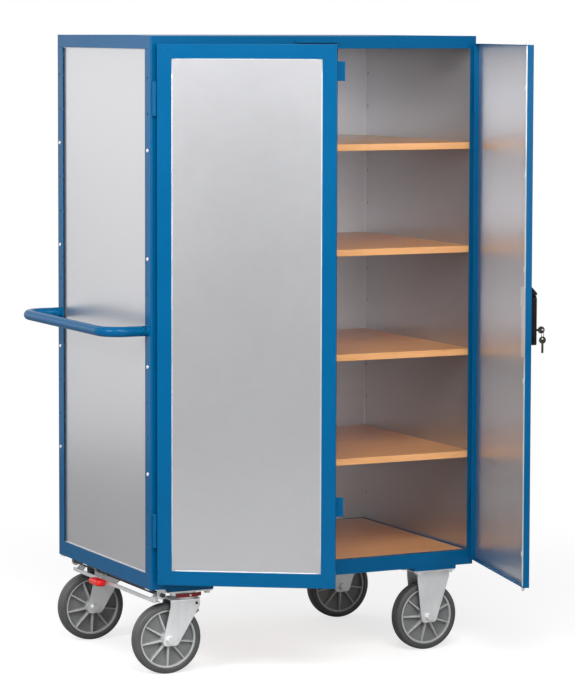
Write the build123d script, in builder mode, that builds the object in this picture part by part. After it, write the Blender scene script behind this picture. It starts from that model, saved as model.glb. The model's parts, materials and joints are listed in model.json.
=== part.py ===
from build123d import *
import math
import os

# Enclosed utility cart: a steel cabinet with two hinged doors on four casters, 1790 mm high.
# Millimetres. The origin is on the floor under the middle of the cabinet. +Z is up, the doors
# face -Y, and the push handle and the swivel casters are at the -X end.

# Cabinet
cabinet_width = 1028
cabinet_depth = 680
cabinet_height = 1540
frame_thickness = 20
base_rail_height = 42
top_rail_height = 36
post_width = 40
section_wall = 2
bend_radius = 4
sheet_thickness = 1.5
sheet_clearance = 0.3
ledge_thickness = 3
ledge_reach = 38
roof_recess = 2
wall_recess = 6
cross_width = 140
cross_thickness = 3
cross_flange_height = 14

# Hole rows of the posts and the shelf boards that hang in them
hole_radius = 3.5
hole_pitch = 100
first_hole_rise = 81.5
bare_hole_count = 2
shelf_count = 4
shelf_thickness = 19
shelf_front_gap = 6
shelf_back_gap = 0.5
shelf_end_clearance = 0.3
board_edge_radius = 1
deck_thickness = 18
screw_radius = 2.5
screw_clearance = 0.1
screw_bite = 25
screw_head_radius = 5.5
screw_head_height = 3.5
screw_head_chamfer = 1.5

# Push handle
handle_share = 0.4701
handle_tube_radius = 14.5
handle_tube_wall = 2
handle_reach = 122
handle_bend_radius = 60
handle_end_inset = 25

# Doors
door_edge_inset = 16
door_centre_gap = 3
door_lift = 18
door_drop = 22
door_thickness = 18
door_gap = 2
door_flange = 40
door_wall = 2
door_corner_radius = 1.5
left_door_angle = 32.5
right_door_angle = 77.5
tab_height = 54
tab_reach = 20
tab_lap = 24
tab_thickness = 3
tab_relief = 0.6
tab_shares = (0.1327, 0.9333)

# Lift-off hinges
hinge_inset = 8
hinge_standoff = 9
hinge_end_inset = 103
knuckle_length = 46.5
knuckle_radius = 6.5
knuckle_tip = 4
washer_thickness = 1.8
washer_play = 0.1
hinge_pin_radius = 4
hinge_pin_rise = 34
pin_clearance = 0.05

# Lock of the right door
lock_inset = 24
spindle_share = 0.53117
spindle_radius = 5
spindle_clearance = 0.3
crank_disc_radius = 13
crank_disc_thickness = 3
crank_radius = 10
crank_pin_radius = 2
crank_angle = 45
crank_slot_play = 0.5
strap_thickness = 3
strap_width = 11
strap_end = 5
rod_radius = 4
rod_clearance = 0.4
rod_depth = 10.5
rod_reach = 12
rod_start = 28
rod_travel = 2 * crank_radius * math.sin(math.radians(crank_angle))
case_depth = 13
case_wall = 1.2
case_top = 33
case_step = -21
case_bottom = -161
case_hinge_side = 26
case_neck_side = 18
case_free_side = 21
guide_shares = (0.0714, 0.3838, 0.5844, 0.7532, 0.9091)
guide_length = 12
guide_width = 24
guide_wall = 2.5
lock_base_width = 28
lock_base_thickness = 5
lock_base_top = 34
lock_base_bottom = -120
lock_hood_start = 12.5
lock_hood_height = 12
lever_width = 24
lever_thickness = 14
lever_bottom = -126
lever_play = 0.5
lever_rounding = 3
lever_grip_length = 34
lever_grip_depth = 4
key_drop = -85
plug_radius = 6
plug_play = 0.05
plug_depth = 10
plug_lip = 1
key_thickness = 2
key_blade_width = 6
key_blade_length = 26
key_bow_radius = 10
key_hole_radius = 2.5
key_hole_offset = 4
key_neck = 5
key_slot_play = 0.1
ring_radius = 10.5
ring_wire_radius = 0.8
ring_play = 0.3

# Keepers for the two lock rods
keeper_thickness = 4
keeper_gap = 3
keeper_depth = 17
keeper_left_reach = 74
keeper_right_reach = 60
keeper_hole_radius = 5.5

# Casters
caster_height = 240
caster_end_inset = 124
caster_front_inset = 55
caster_rear_inset = 73
wheel_head_room = 40
tyre_width = 40
tyre_thickness = 17
tyre_rounding = 9
tyre_play = 0.1
rim_width = 35
rim_thickness = 5
rim_lip = 3
web_thickness = 6
spoke_count = 10
spoke_thickness = 4
spoke_reach = 17
hub_radius = 26
hub_width = 54
bearing_radius = 16
bearing_width = 12
spacer_radius = 9
axle_radius = 6
axle_head_width = 19
axle_head_height = 7.5
axle_washer_radius = 11
axle_washer_thickness = 2
cheek_gap = 60
cheek_thickness = 3
cheek_bend = 6
cheek_knee = 22
cheek_drop = 17
cheek_foot = 23
cheek_rounding = 10
crown_thickness = 4
fixed_trail = 9
fixed_back_reach = 47
fixed_front_reach = 57
plate_length = 135
plate_width = 106
plate_thickness = 4
plate_corner = 6
pad_length = 140
pad_width = 108
pad_thickness = 10
bolt_spacing_x = 105
bolt_spacing_y = 88
bolt_radius = 5
bolt_hole_radius = 5.5
bolt_head_width = 16
bolt_head_height = 6.4
bolt_end = 2

# Swivel heads
swivel_trail = 53
front_swivel_angle = -3.2
rear_swivel_angle = -1.1
crown_drop = 25
swivel_back_reach = 51
swivel_front_reach = 37
race_radius = 34
race_height = 8
cup_radius = 36
cup_rise = 12
kingpin_radius = 7
kingpin_nut_width = 19
kingpin_nut_height = 7
shoe_angle = 39
shoe_span = 14
shoe_gap = 4
shoe_thickness = 16
shoe_width = 36
shoe_pin_radius = 4
shoe_pin_x = 27
shoe_pin_drop = 40

# Foot brake between the swivel casters
brake_inset = 40
brake_drop = 9
brake_shaft_radius = 6
brake_shaft_front_inset = 5
brake_shaft_rear_inset = 22
brake_bracket_shares = (-0.941, 0.382, 0.897)
bracket_thickness = 3
bracket_width = 26
bracket_flange = 50
foot_bar_front_inset = 12
foot_bar_rear_inset = 78
foot_bar_inset = 14
foot_bar_drop = 29
foot_bar_size = 20
foot_bar_wall = 3
foot_arm_shares = (-0.882, 0.176, 0.706)
foot_arm_thickness = 4
pedal_share = 0.118
pedal_length = 72
pedal_reach = 32
pedal_thickness = 17
pedal_drop = 6
pedal_rounding = 13
pedal_edge = 6
red_lever_y = 44.5
red_lever_thickness = 6
red_lever_back = 42.5
red_lever_front = 33
red_lever_height = 10
red_lever_drop = 14
red_lever_rise = 2
red_lever_pin_radius = 3
red_lever_lug_width = 16
red_lever_play = 0.5

overrun = 5

base_z = caster_height + pad_thickness
top_z = base_z + cabinet_height
deck_top = base_z + base_rail_height
post_bottom = deck_top
post_top = top_z - top_rail_height
half_width = cabinet_width / 2
half_depth = cabinet_depth / 2
frame_opening = cabinet_width - 2 * frame_thickness
door_width = half_width - door_edge_inset - door_centre_gap / 2
door_bottom = base_z + door_lift
door_top = top_z - door_drop
door_height = door_top - door_bottom
door_middle = (door_bottom + door_top) / 2
door_near = door_edge_inset - hinge_inset
door_far = door_near + door_width
door_back = hinge_standoff - door_gap
door_front = door_back - door_thickness
spindle_z = base_z + spindle_share * cabinet_height
wall_height = post_top - post_bottom
wall_middle = (post_top + post_bottom) / 2
caster_x = half_width - caster_end_inset
caster_rows = (-half_depth + caster_front_inset, half_depth - caster_rear_inset)
wheel_radius = (caster_height - wheel_head_room) / 2
tyre_seat_radius = wheel_radius - tyre_thickness
crown_height = caster_height - crown_drop
shoe_pin_z = caster_height - shoe_pin_drop
brake_x = -half_width + brake_inset
brake_z = caster_height - brake_drop
foot_bar_x = -half_width + foot_bar_inset
foot_bar_z = caster_height - foot_bar_drop
red_lever_z = caster_height - red_lever_drop

ACROSS = Vector(1, 0, 0)
INWARD = Vector(0, 1, 0)
UP = Vector(0, 0, 1)

os.makedirs("parts", exist_ok=True)


def keep(piece, name):
    piece.part.label = name
    export_step(piece.part, f"parts/{name}.step")


def standing(x, y, z=0, angle=0):
    """A frame standing upright at a point, turned about the vertical."""
    return Plane(origin=(x, y, z), x_dir=ACROSS.rotate(Axis.Z, angle), z_dir=UP)


def placed(frame, at, across, normal):
    """A plane at a point of a frame, with its x and its normal along directions of that frame."""
    origin = frame.from_local_coords(Vector(*at))
    x_dir = frame.from_local_coords(across) - frame.origin
    z_dir = frame.from_local_coords(normal) - frame.origin
    return Plane(origin=origin, x_dir=x_dir, z_dir=z_dir)


def level(frame, z):
    return placed(frame, (0, 0, z), ACROSS, UP)


def depth_axis(frame):
    return Axis(frame.origin, frame.y_dir)


def facing(frame, y):
    """Upright plane of a frame at depth y, seen from the front: x to the right and y up."""
    return placed(frame, (0, y, 0), ACROSS, -INWARD)


cabinet = standing(0, 0)
left_hinge = standing(-half_width + hinge_inset, -half_depth - hinge_standoff, 0, -left_door_angle)
right_hinge = standing(half_width - hinge_inset, -half_depth - hinge_standoff, 0, right_door_angle)
front_row, rear_row = caster_rows
fixed_casters = {
    "right_front": standing(caster_x, front_row),
    "right_rear": standing(caster_x, rear_row),
}
swivel_casters = {
    "left_front": standing(-caster_x, front_row, 0, front_swivel_angle),
    "left_rear": standing(-caster_x, rear_row, 0, rear_swivel_angle),
}
pad_places = [(side * caster_x, row) for side in (-1, 1) for row in caster_rows]
bolt_places = [
    (x + sx * bolt_spacing_x / 2, y + sy * bolt_spacing_y / 2)
    for x, y in pad_places
    for sx in (-1, 1)
    for sy in (-1, 1)
]


# Base and top frame

def rail_ring(bottom, height, ledge_top):
    """A mitred ring of channel, open towards the inside, with a ledge that carries a board."""
    with BuildPart() as ring:
        with BuildSketch(Plane.XY.offset(bottom)):
            RectangleRounded(cabinet_width, cabinet_depth, bend_radius)
            Rectangle(frame_opening, cabinet_depth - 2 * frame_thickness, mode=Mode.SUBTRACT)
        extrude(amount=height)
        with BuildSketch(Plane.XY.offset(bottom + section_wall)):
            Rectangle(cabinet_width - 2 * section_wall, cabinet_depth - 2 * section_wall)
        extrude(amount=height - 2 * section_wall, mode=Mode.SUBTRACT)
        with BuildSketch(Plane.XY.offset(ledge_top - ledge_thickness)):
            Rectangle(cabinet_width - 2 * section_wall, cabinet_depth - 2 * section_wall)
            Rectangle(
                cabinet_width - 2 * ledge_reach,
                cabinet_depth - 2 * ledge_reach,
                mode=Mode.SUBTRACT,
            )
        extrude(amount=ledge_thickness)
    return ring


def plate_with_holes(length, width):
    RectangleRounded(length, width, plate_corner)
    with GridLocations(bolt_spacing_x, bolt_spacing_y, 2, 2):
        Circle(bolt_hole_radius, mode=Mode.SUBTRACT)


base_ring = rail_ring(base_z, base_rail_height, deck_top - deck_thickness)
with BuildPart() as base_frame:
    add(base_ring.part)
    with BuildSketch(Plane.XY.offset(base_z)):
        for side in (-1, 1):
            with Locations((side * caster_x, 0)):
                Rectangle(cross_width, cabinet_depth - 2 * section_wall)
    extrude(amount=cross_thickness)
    with BuildSketch(Plane.XY.offset(base_z)):
        for side in (-1, 1):
            for edge in (-1, 1):
                with Locations((side * caster_x + edge * (cross_width - cross_thickness) / 2, 0)):
                    Rectangle(cross_thickness, cabinet_depth - 2 * frame_thickness)
    extrude(amount=cross_flange_height)
    with BuildSketch(Plane.XY.offset(base_z - overrun)):
        with Locations(*bolt_places):
            Circle(bolt_hole_radius)
    extrude(amount=cross_thickness + 2 * overrun, mode=Mode.SUBTRACT)
    for x, y in pad_places:
        with BuildSketch(level(standing(x, y), caster_height)):
            plate_with_holes(pad_length, pad_width)
        extrude(amount=pad_thickness)
keep(base_frame, "base_frame")

top_frame = rail_ring(post_top, top_rail_height, top_z - roof_recess - sheet_thickness)
keep(top_frame, "top_frame")

# Posts with their rows of holes

post_places = [
    (sx * (half_width - frame_thickness / 2), sy * (half_depth - post_width / 2))
    for sx in (-1, 1)
    for sy in (-1, 1)
]
first_hole = post_bottom + first_hole_rise
hole_count = int((wall_height - first_hole_rise - post_width) / hole_pitch) + 1
row_middle = first_hole + hole_pitch * (hole_count - 1) / 2
shelf_step = hole_pitch * (hole_count // shelf_count)
shelf_holes = [
    first_hole + hole_pitch * bare_hole_count + shelf_step * n
    for n in range(shelf_count)
]


def post_section(x, y):
    """Angle section: one flange on the cabinet's side, the other on its front or back."""
    out_x = math.copysign(1, x)
    out_y = math.copysign(1, y)
    outer = Vector(out_x * half_width, out_y * half_depth)
    inner = outer - Vector(out_x * section_wall, out_y * section_wall)
    with BuildSketch(Plane.XY.offset(post_bottom)) as section:
        with Locations((x, y)):
            Rectangle(frame_thickness, post_width)
        with Locations((x - out_x * section_wall, y - out_y * section_wall)):
            Rectangle(frame_thickness, post_width, mode=Mode.SUBTRACT)
        fillet(section.sketch_local.vertices().sort_by_distance(outer)[0], bend_radius)
        fillet(section.sketch_local.vertices().sort_by_distance(inner)[0], bend_radius - section_wall)
    return section.sketch


with BuildPart() as corner_posts:
    for x, y in post_places:
        extrude(post_section(x, y), amount=post_top - post_bottom)
        out = Vector(math.copysign(1, x), 0, 0)
        with BuildSketch(placed(cabinet, (math.copysign(half_width, x), y, row_middle), INWARD, -out)):
            with GridLocations(hole_pitch, hole_pitch, 1, hole_count):
                Circle(hole_radius)
        extrude(amount=section_wall + overrun, mode=Mode.SUBTRACT)
keep(corner_posts, "corner_posts")

# Sheets of the walls and the roof

tray_inset = bend_radius + sheet_clearance
tray_front = -half_depth + tray_inset
tray_back = half_depth - wall_recess - sheet_thickness - sheet_clearance
tray_height = wall_height - 2 * sheet_clearance


def wall_sheet(outside, wide):
    """A shallow tray: its face set back, its rim turned out to the flanges of the posts."""
    with BuildPart() as sheet:
        with BuildSketch(outside.offset(section_wall)):
            Rectangle(wide, tray_height)
        extrude(amount=wall_recess + sheet_thickness - section_wall)
        with BuildSketch(outside.offset(section_wall)):
            Rectangle(wide - 2 * sheet_thickness, tray_height - 2 * sheet_thickness)
        extrude(amount=wall_recess - section_wall, mode=Mode.SUBTRACT)
    return sheet


def side_panel(side):
    """Wall sheet of one end, with holes behind those of the posts."""
    middle = (tray_front + tray_back) / 2
    outside = placed(cabinet, (side * half_width, middle, wall_middle), INWARD, ACROSS * -side)
    sheet = wall_sheet(outside, tray_back - tray_front)
    with BuildPart() as panel:
        add(sheet.part)
        with BuildSketch(placed(cabinet, (side * half_width, 0, row_middle), INWARD, ACROSS * -side)):
            with GridLocations(cabinet_depth - post_width, hole_pitch, 2, hole_count):
                Circle(hole_radius)
        extrude(amount=wall_recess + sheet_thickness + overrun, mode=Mode.SUBTRACT)
    return panel


back_outside = placed(cabinet, (0, half_depth, wall_middle), ACROSS, -INWARD)
keep(side_panel(-1), "side_panel_left")
keep(side_panel(1), "side_panel_right")
keep(wall_sheet(back_outside, cabinet_width - 2 * tray_inset), "back_panel")

with BuildPart() as roof_panel:
    with BuildSketch(Plane.XY.offset(top_z - roof_recess - sheet_thickness)):
        Rectangle(
            frame_opening - 2 * sheet_clearance,
            cabinet_depth - 2 * frame_thickness - 2 * sheet_clearance,
        )
    extrude(amount=sheet_thickness)
keep(roof_panel, "roof_panel")

# Deck and shelf boards

with BuildPart() as base_deck:
    with BuildSketch(Plane.XY.offset(deck_top - deck_thickness)):
        Rectangle(
            frame_opening - 2 * sheet_clearance,
            cabinet_depth - 2 * frame_thickness - 2 * sheet_clearance,
        )
    extrude(amount=deck_thickness)
keep(base_deck, "base_deck")

screw_start = wall_recess + sheet_thickness + shelf_end_clearance
shelf_length = cabinet_width - 2 * screw_start
shelf_front = -half_depth + shelf_front_gap
shelf_back = half_depth - wall_recess - sheet_thickness - shelf_back_gap
for number, z in enumerate(reversed(shelf_holes), start=1):
    with BuildPart() as shelf:
        with BuildSketch(Plane.XY.offset(z - shelf_thickness / 2)):
            with Locations((0, (shelf_front + shelf_back) / 2)):
                Rectangle(shelf_length, shelf_back - shelf_front)
        extrude(amount=shelf_thickness)
        fillet(shelf.edges().filter_by(Axis.X).group_by(Axis.Y)[0], board_edge_radius)
        for x, y in post_places:
            out = Vector(math.copysign(1, x), 0, 0)
            start = math.copysign(shelf_length / 2 + overrun, x)
            with BuildSketch(placed(cabinet, (start, y, z), INWARD, -out)):
                Circle(screw_radius + screw_clearance)
            extrude(amount=screw_bite + screw_clearance + overrun, mode=Mode.SUBTRACT)
    keep(shelf, f"shelf_{number}")

with BuildPart() as shelf_screws:
    for x, y in post_places:
        out = Vector(math.copysign(1, x), 0, 0)
        for z in shelf_holes:
            seat = placed(cabinet, (math.copysign(half_width, x), y, z), INWARD, out)
            with BuildSketch(seat):
                Circle(screw_head_radius)
            extrude(amount=screw_head_height)
            with BuildSketch(seat):
                Circle(screw_radius)
            extrude(amount=-screw_start - screw_bite)
    ends = shelf_screws.edges().filter_by(GeomType.CIRCLE).group_by(Axis.X)
    chamfer(ends[0] + ends[-1], screw_head_chamfer)
keep(shelf_screws, "shelf_screws")

# Push handle

handle_z = base_z + handle_share * cabinet_height
handle_y = half_depth - handle_end_inset
handle_x = -half_width - handle_reach
with BuildPart() as push_handle:
    with BuildLine() as route:
        FilletPolyline(
            (-half_width, -handle_y, handle_z),
            (handle_x, -handle_y, handle_z),
            (handle_x, handle_y, handle_z),
            (-half_width, handle_y, handle_z),
            radius=handle_bend_radius,
        )
    with BuildSketch(placed(cabinet, (-half_width, -handle_y, handle_z), INWARD, -ACROSS)):
        Circle(handle_tube_radius)
        Circle(handle_tube_radius - handle_tube_wall, mode=Mode.SUBTRACT)
    sweep(path=route.wires()[0])
keep(push_handle, "push_handle")

# Lift-off hinges: the post half carries the pin, the door half drops over it

hinge_height = 2 * knuckle_length + washer_thickness + washer_play
hinge_feet = (door_bottom + hinge_end_inset, door_top - hinge_end_inset - hinge_height)


def teardrop(plane, tip, bore_radius):
    """Rolled knuckle with a flank drawn out to the weld at tip."""
    with BuildSketch(plane) as outline:
        with BuildLine():
            tangent = math.hypot(*tip)
            turn = math.degrees(math.atan2(tip[1], tip[0]))
            lean = math.degrees(math.acos((knuckle_radius - knuckle_tip / 2) / tangent))
            upper = Vector(knuckle_radius, 0).rotate(Axis.Z, turn + lean)
            lower = Vector(knuckle_radius, 0).rotate(Axis.Z, turn - lean)
            side = Vector(0, knuckle_tip / 2).rotate(Axis.Z, turn)
            far = Vector(-knuckle_radius, 0).rotate(Axis.Z, turn)
            end = Vector(*tip)
            ThreePointArc(upper, far, lower)
            Polyline(lower, end - side, end + side, upper)
        make_face()
        if bore_radius:
            Circle(bore_radius, mode=Mode.SUBTRACT)
    return outline.sketch


with BuildPart() as hinge_pins:
    for side in (-1, 1):
        post_side = standing(side * (half_width - hinge_inset), -half_depth - hinge_standoff)
        for foot in hinge_feet:
            extrude(teardrop(level(post_side, foot), (0, hinge_standoff), 0), amount=knuckle_length)
            with BuildSketch(level(post_side, foot + knuckle_length)):
                Circle(hinge_pin_radius)
            extrude(amount=hinge_pin_rise)
            with BuildSketch(level(post_side, foot + knuckle_length)):
                Circle(knuckle_radius)
            extrude(amount=washer_thickness)
keep(hinge_pins, "hinge_pins")


def hinge_sleeves(frame, side):
    """Door halves: knuckles bored from below, welded to the door's edge."""
    with BuildPart() as sleeves:
        for foot in hinge_feet:
            seat = foot + knuckle_length + washer_thickness + washer_play
            bored = teardrop(level(frame, seat), (side * door_near, 0), hinge_pin_radius + pin_clearance)
            extrude(bored, amount=hinge_pin_rise)
            solid = teardrop(level(frame, seat + hinge_pin_rise), (side * door_near, 0), 0)
            extrude(solid, amount=knuckle_length - hinge_pin_rise)
    return sleeves


# Doors: a mitred angle frame with the sheet behind its flange

def door_rectangle(side, inset):
    with Locations((side * (door_near + door_width / 2), door_middle)):
        Rectangle(door_width - 2 * inset, door_height - 2 * inset)


def door_leaf(frame, side):
    with BuildPart() as leaf:
        with BuildSketch(facing(frame, door_back)):
            door_rectangle(side, 0)
        extrude(amount=door_thickness)
        fillet(leaf.faces().sort_by(depth_axis(frame))[0].edges(), door_corner_radius)
        with BuildSketch(facing(frame, door_back)):
            door_rectangle(side, door_wall)
        extrude(amount=door_thickness - door_wall, mode=Mode.SUBTRACT)
        with BuildSketch(facing(frame, door_back)):
            door_rectangle(side, door_flange)
        extrude(amount=door_thickness + overrun, mode=Mode.SUBTRACT)
    return leaf


def door_sheet(frame, side):
    with BuildPart() as sheet:
        with BuildSketch(facing(frame, door_front + door_wall + sheet_thickness)):
            door_rectangle(side, door_wall + sheet_clearance)
        extrude(amount=sheet_thickness)
    return sheet


left_leaf = door_leaf(left_hinge, 1)
with BuildPart() as left_door_frame:
    add(left_leaf.part)
    for share in tab_shares:
        tab_middle = door_bottom + share * door_height + tab_height / 2
        with BuildSketch(facing(left_hinge, door_back + tab_thickness)):
            with Locations((door_far + (tab_reach - tab_lap) / 2, tab_middle)):
                Rectangle(tab_reach + tab_lap, tab_height)
        extrude(amount=tab_thickness)
        with BuildSketch(facing(left_hinge, door_back + tab_relief)):
            with Locations((door_far + tab_reach / 2 + overrun / 2, tab_middle)):
                Rectangle(tab_reach + overrun, tab_height)
        extrude(amount=tab_relief, mode=Mode.SUBTRACT)
keep(left_door_frame, "left_door_frame")
keep(door_sheet(left_hinge, 1), "left_door_panel")
keep(hinge_sleeves(left_hinge, 1), "left_hinge_sleeves")

# Right door with the holes of its lock

lock_x = -(door_far - lock_inset)
rod_y = door_front + rod_depth
right_leaf = door_leaf(right_hinge, -1)
with BuildPart() as right_door_frame:
    add(right_leaf.part)
    with BuildSketch(level(right_hinge, door_bottom - overrun)):
        with Locations((lock_x, rod_y)):
            Circle(rod_radius + rod_clearance)
    extrude(amount=door_height + 2 * overrun, mode=Mode.SUBTRACT)
    with BuildSketch(facing(right_hinge, door_front + door_wall + overrun)):
        with Locations((lock_x, spindle_z)):
            Circle(spindle_radius + spindle_clearance)
    extrude(amount=door_wall + 2 * overrun, mode=Mode.SUBTRACT)
keep(right_door_frame, "right_door_frame")

with BuildPart() as right_door_panel:
    add(door_sheet(right_hinge, -1).part)
    with BuildSketch(facing(right_hinge, door_front + door_wall + sheet_thickness + overrun)):
        with Locations((lock_x, spindle_z)):
            Circle(spindle_radius + spindle_clearance)
    extrude(amount=sheet_thickness + 2 * overrun, mode=Mode.SUBTRACT)
keep(right_door_panel, "right_door_panel")
keep(hinge_sleeves(right_hinge, -1), "right_hinge_sleeves")

# Lock: the spindle turns a disc whose two crank pins draw the rods in

lock = placed(right_hinge, (lock_x, door_front, spindle_z), ACROSS, UP)
sheet_back = door_wall + sheet_thickness
rod_line = level(lock, 0)


def case_outline(inset):
    Polygon(
        (-case_free_side + inset, case_top - inset),
        (-case_free_side + inset, case_bottom + inset),
        (case_neck_side - inset, case_bottom + inset),
        (case_neck_side - inset, case_step + inset),
        (case_hinge_side - inset, case_step + inset),
        (case_hinge_side - inset, case_top - inset),
        align=None,
    )


with BuildPart() as lock_case:
    with BuildSketch(facing(lock, sheet_back + case_depth)):
        case_outline(0)
    extrude(amount=case_depth)
    with BuildSketch(facing(lock, sheet_back + case_depth - case_wall)):
        case_outline(case_wall)
    extrude(amount=case_depth, mode=Mode.SUBTRACT)
    with BuildSketch(level(lock, case_bottom - overrun)):
        with Locations((0, rod_depth)):
            Circle(rod_radius + rod_clearance)
    extrude(amount=case_top - case_bottom + 2 * overrun, mode=Mode.SUBTRACT)
keep(lock_case, "lock_case")


def lock_rod(direction):
    """Round rod with a slotted strap at its inner end; direction is 1 for the upper rod."""
    tip = door_top + rod_reach if direction > 0 else door_bottom - rod_reach
    pin_x = -direction * crank_radius * math.cos(math.radians(crank_angle))
    pin_z = direction * crank_radius * math.sin(math.radians(crank_angle))
    strap_side = -direction * (rod_radius + strap_width - strap_end)
    strap_y = rod_depth + strap_thickness / 2
    slot_middle = (pin_x - direction * crank_radius) / 2
    slot_length = crank_radius - abs(pin_x) + 2 * (crank_pin_radius + crank_slot_play)
    with BuildPart() as rod:
        with BuildSketch(level(lock, direction * rod_start)):
            with Locations((0, rod_depth)):
                Circle(rod_radius)
        extrude(amount=tip - spindle_z - direction * rod_start)
        chamfer(rod.faces().sort_by(Axis.Z)[-1 if direction > 0 else 0].edges(), rod_radius / 4)
        with BuildSketch(facing(lock, strap_y)):
            with BuildLine():
                near = -direction * (crank_radius - crank_pin_radius - strap_end)
                foot = pin_z - direction * strap_end
                shoulder = direction * rod_start
                head = direction * (rod_start + rod_radius / 2)
                Polyline(
                    (near, foot),
                    (strap_side - direction * rod_radius, foot),
                    (strap_side - direction * rod_radius, head),
                    (direction * rod_radius, head),
                    (direction * rod_radius, shoulder),
                    (near, shoulder),
                    close=True,
                )
            make_face()
            with Locations((slot_middle, pin_z)):
                Rectangle(slot_length, 2 * (crank_pin_radius + crank_slot_play), mode=Mode.SUBTRACT)
        extrude(amount=strap_thickness)
    return rod


keep(lock_rod(1), "lock_rod_top")
keep(lock_rod(-1), "lock_rod_bottom")

with BuildPart() as lock_spindle:
    disc_y = sheet_back + spindle_clearance
    with BuildSketch(facing(lock, disc_y + crank_disc_thickness)):
        Circle(crank_disc_radius)
    extrude(amount=crank_disc_thickness)
    with BuildSketch(facing(lock, disc_y)):
        Circle(spindle_radius)
    extrude(amount=disc_y + lock_base_thickness + lever_play + lever_thickness / 2)
    with BuildSketch(facing(lock, rod_depth + strap_thickness / 2)):
        with PolarLocations(crank_radius, 2, start_angle=-crank_angle):
            Circle(crank_pin_radius)
    extrude(amount=rod_depth + strap_thickness / 2 - disc_y)
keep(lock_spindle, "lock_spindle")

with BuildPart() as rod_guides:
    guide_outside = rod_radius + rod_clearance + guide_wall
    for share in guide_shares:
        height = base_z + share * cabinet_height - spindle_z
        with BuildSketch(facing(lock, sheet_back)):
            with Locations((0, height)):
                Rectangle(guide_width, guide_length)
        extrude(amount=-guide_wall)
        with BuildSketch(level(lock, height - guide_length / 2)):
            with Locations((0, rod_depth)):
                Circle(guide_outside)
            with Locations((0, (rod_depth + sheet_back) / 2)):
                Rectangle(2 * guide_outside, rod_depth - sheet_back)
        extrude(amount=guide_length)
        with BuildSketch(level(lock, height - guide_length)):
            with Locations((0, rod_depth)):
                Circle(rod_radius + rod_clearance)
        extrude(amount=2 * guide_length, mode=Mode.SUBTRACT)
keep(rod_guides, "rod_guides")

# Outside of the lock: base with its hood, and the lever below the hood

with BuildPart() as lock_base:
    with BuildSketch(facing(lock, 0)):
        with Locations((0, (lock_base_top + lock_base_bottom) / 2)):
            RectangleRounded(lock_base_width, lock_base_top - lock_base_bottom, lever_rounding)
    extrude(amount=lock_base_thickness)
    with BuildSketch(placed(lock, (-lever_width / 2, 0, 0), -INWARD, ACROSS)):
        with BuildLine():
            Polyline(
                (0, -lock_base_top),
                (lock_base_thickness, -lock_base_top),
                (lock_base_thickness + lever_thickness, -lock_hood_start - lock_hood_height / 2),
                (lock_base_thickness + lever_thickness, -lock_hood_start),
                (0, -lock_hood_start),
                close=True,
            )
        make_face()
    extrude(amount=lever_width)
    with BuildSketch(facing(lock, 0)):
        Circle(spindle_radius + spindle_clearance)
    extrude(amount=lock_base_thickness, mode=Mode.SUBTRACT)
keep(lock_base, "lock_base")

lever_back = -lock_base_thickness - lever_play
lever_face = lever_back - lever_thickness
with BuildPart() as lock_lever:
    with BuildSketch(facing(lock, lever_back)):
        Circle(lever_width / 2)
        with Locations((0, lever_bottom / 2)):
            Rectangle(lever_width, -lever_bottom)
    extrude(amount=lever_thickness)
    corners = lock_lever.edges().filter_by(depth_axis(lock)).group_by(Axis.Z)[0]
    fillet(corners, lever_rounding)
    fillet(lock_lever.faces().sort_by(depth_axis(lock))[0].edges(), lever_rounding)
    with BuildSketch(placed(lock, (-lever_width, 0, 0), -INWARD, ACROSS)):
        with Locations((-lever_back, -lever_bottom - lever_grip_length / 2)):
            Ellipse(lever_grip_depth, lever_grip_length / 2)
    extrude(amount=2 * lever_width, mode=Mode.SUBTRACT)
    with BuildSketch(facing(lock, lever_back)):
        Circle(spindle_radius + pin_clearance)
    extrude(amount=lever_thickness / 2, mode=Mode.SUBTRACT)
    with BuildSketch(facing(lock, lever_face + plug_depth)):
        with Locations((0, key_drop)):
            Circle(plug_radius + plug_play)
    extrude(amount=plug_depth + overrun, mode=Mode.SUBTRACT)
keep(lock_lever, "lock_lever")

# Plug of the lever's cylinder, the key in it, and the spare key on its ring

bow_y = lever_face - plug_lip - key_neck - key_bow_radius
key_plane = placed(lock, (-key_thickness / 2, 0, 0), -INWARD, ACROSS)
plug_back = -lever_face - plug_depth + plug_play

with BuildPart() as lock_plug:
    with BuildSketch(facing(lock, -plug_back)):
        with Locations((0, key_drop)):
            Circle(plug_radius)
    extrude(amount=plug_depth - plug_play + plug_lip)
    with BuildSketch(placed(lock, (-key_thickness / 2 - key_slot_play, 0, 0), -INWARD, ACROSS)):
        with Locations((plug_back + plug_lip + plug_depth, -key_drop)):
            Rectangle(2 * plug_depth, key_blade_width + 2 * key_slot_play)
    extrude(amount=key_thickness + 2 * key_slot_play, mode=Mode.SUBTRACT)
keep(lock_plug, "lock_plug")

with BuildPart() as key:
    blade_tip = plug_back + plug_lip + key_slot_play
    with BuildSketch(key_plane):
        with Locations((-bow_y, -key_drop)):
            Circle(key_bow_radius)
        with Locations(((blade_tip - bow_y) / 2, -key_drop)):
            Rectangle(-bow_y - blade_tip, key_blade_width)
        with Locations((-bow_y + key_hole_offset, -key_drop)):
            Circle(key_hole_radius, mode=Mode.SUBTRACT)
    extrude(amount=key_thickness)
keep(key, "key")

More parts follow.
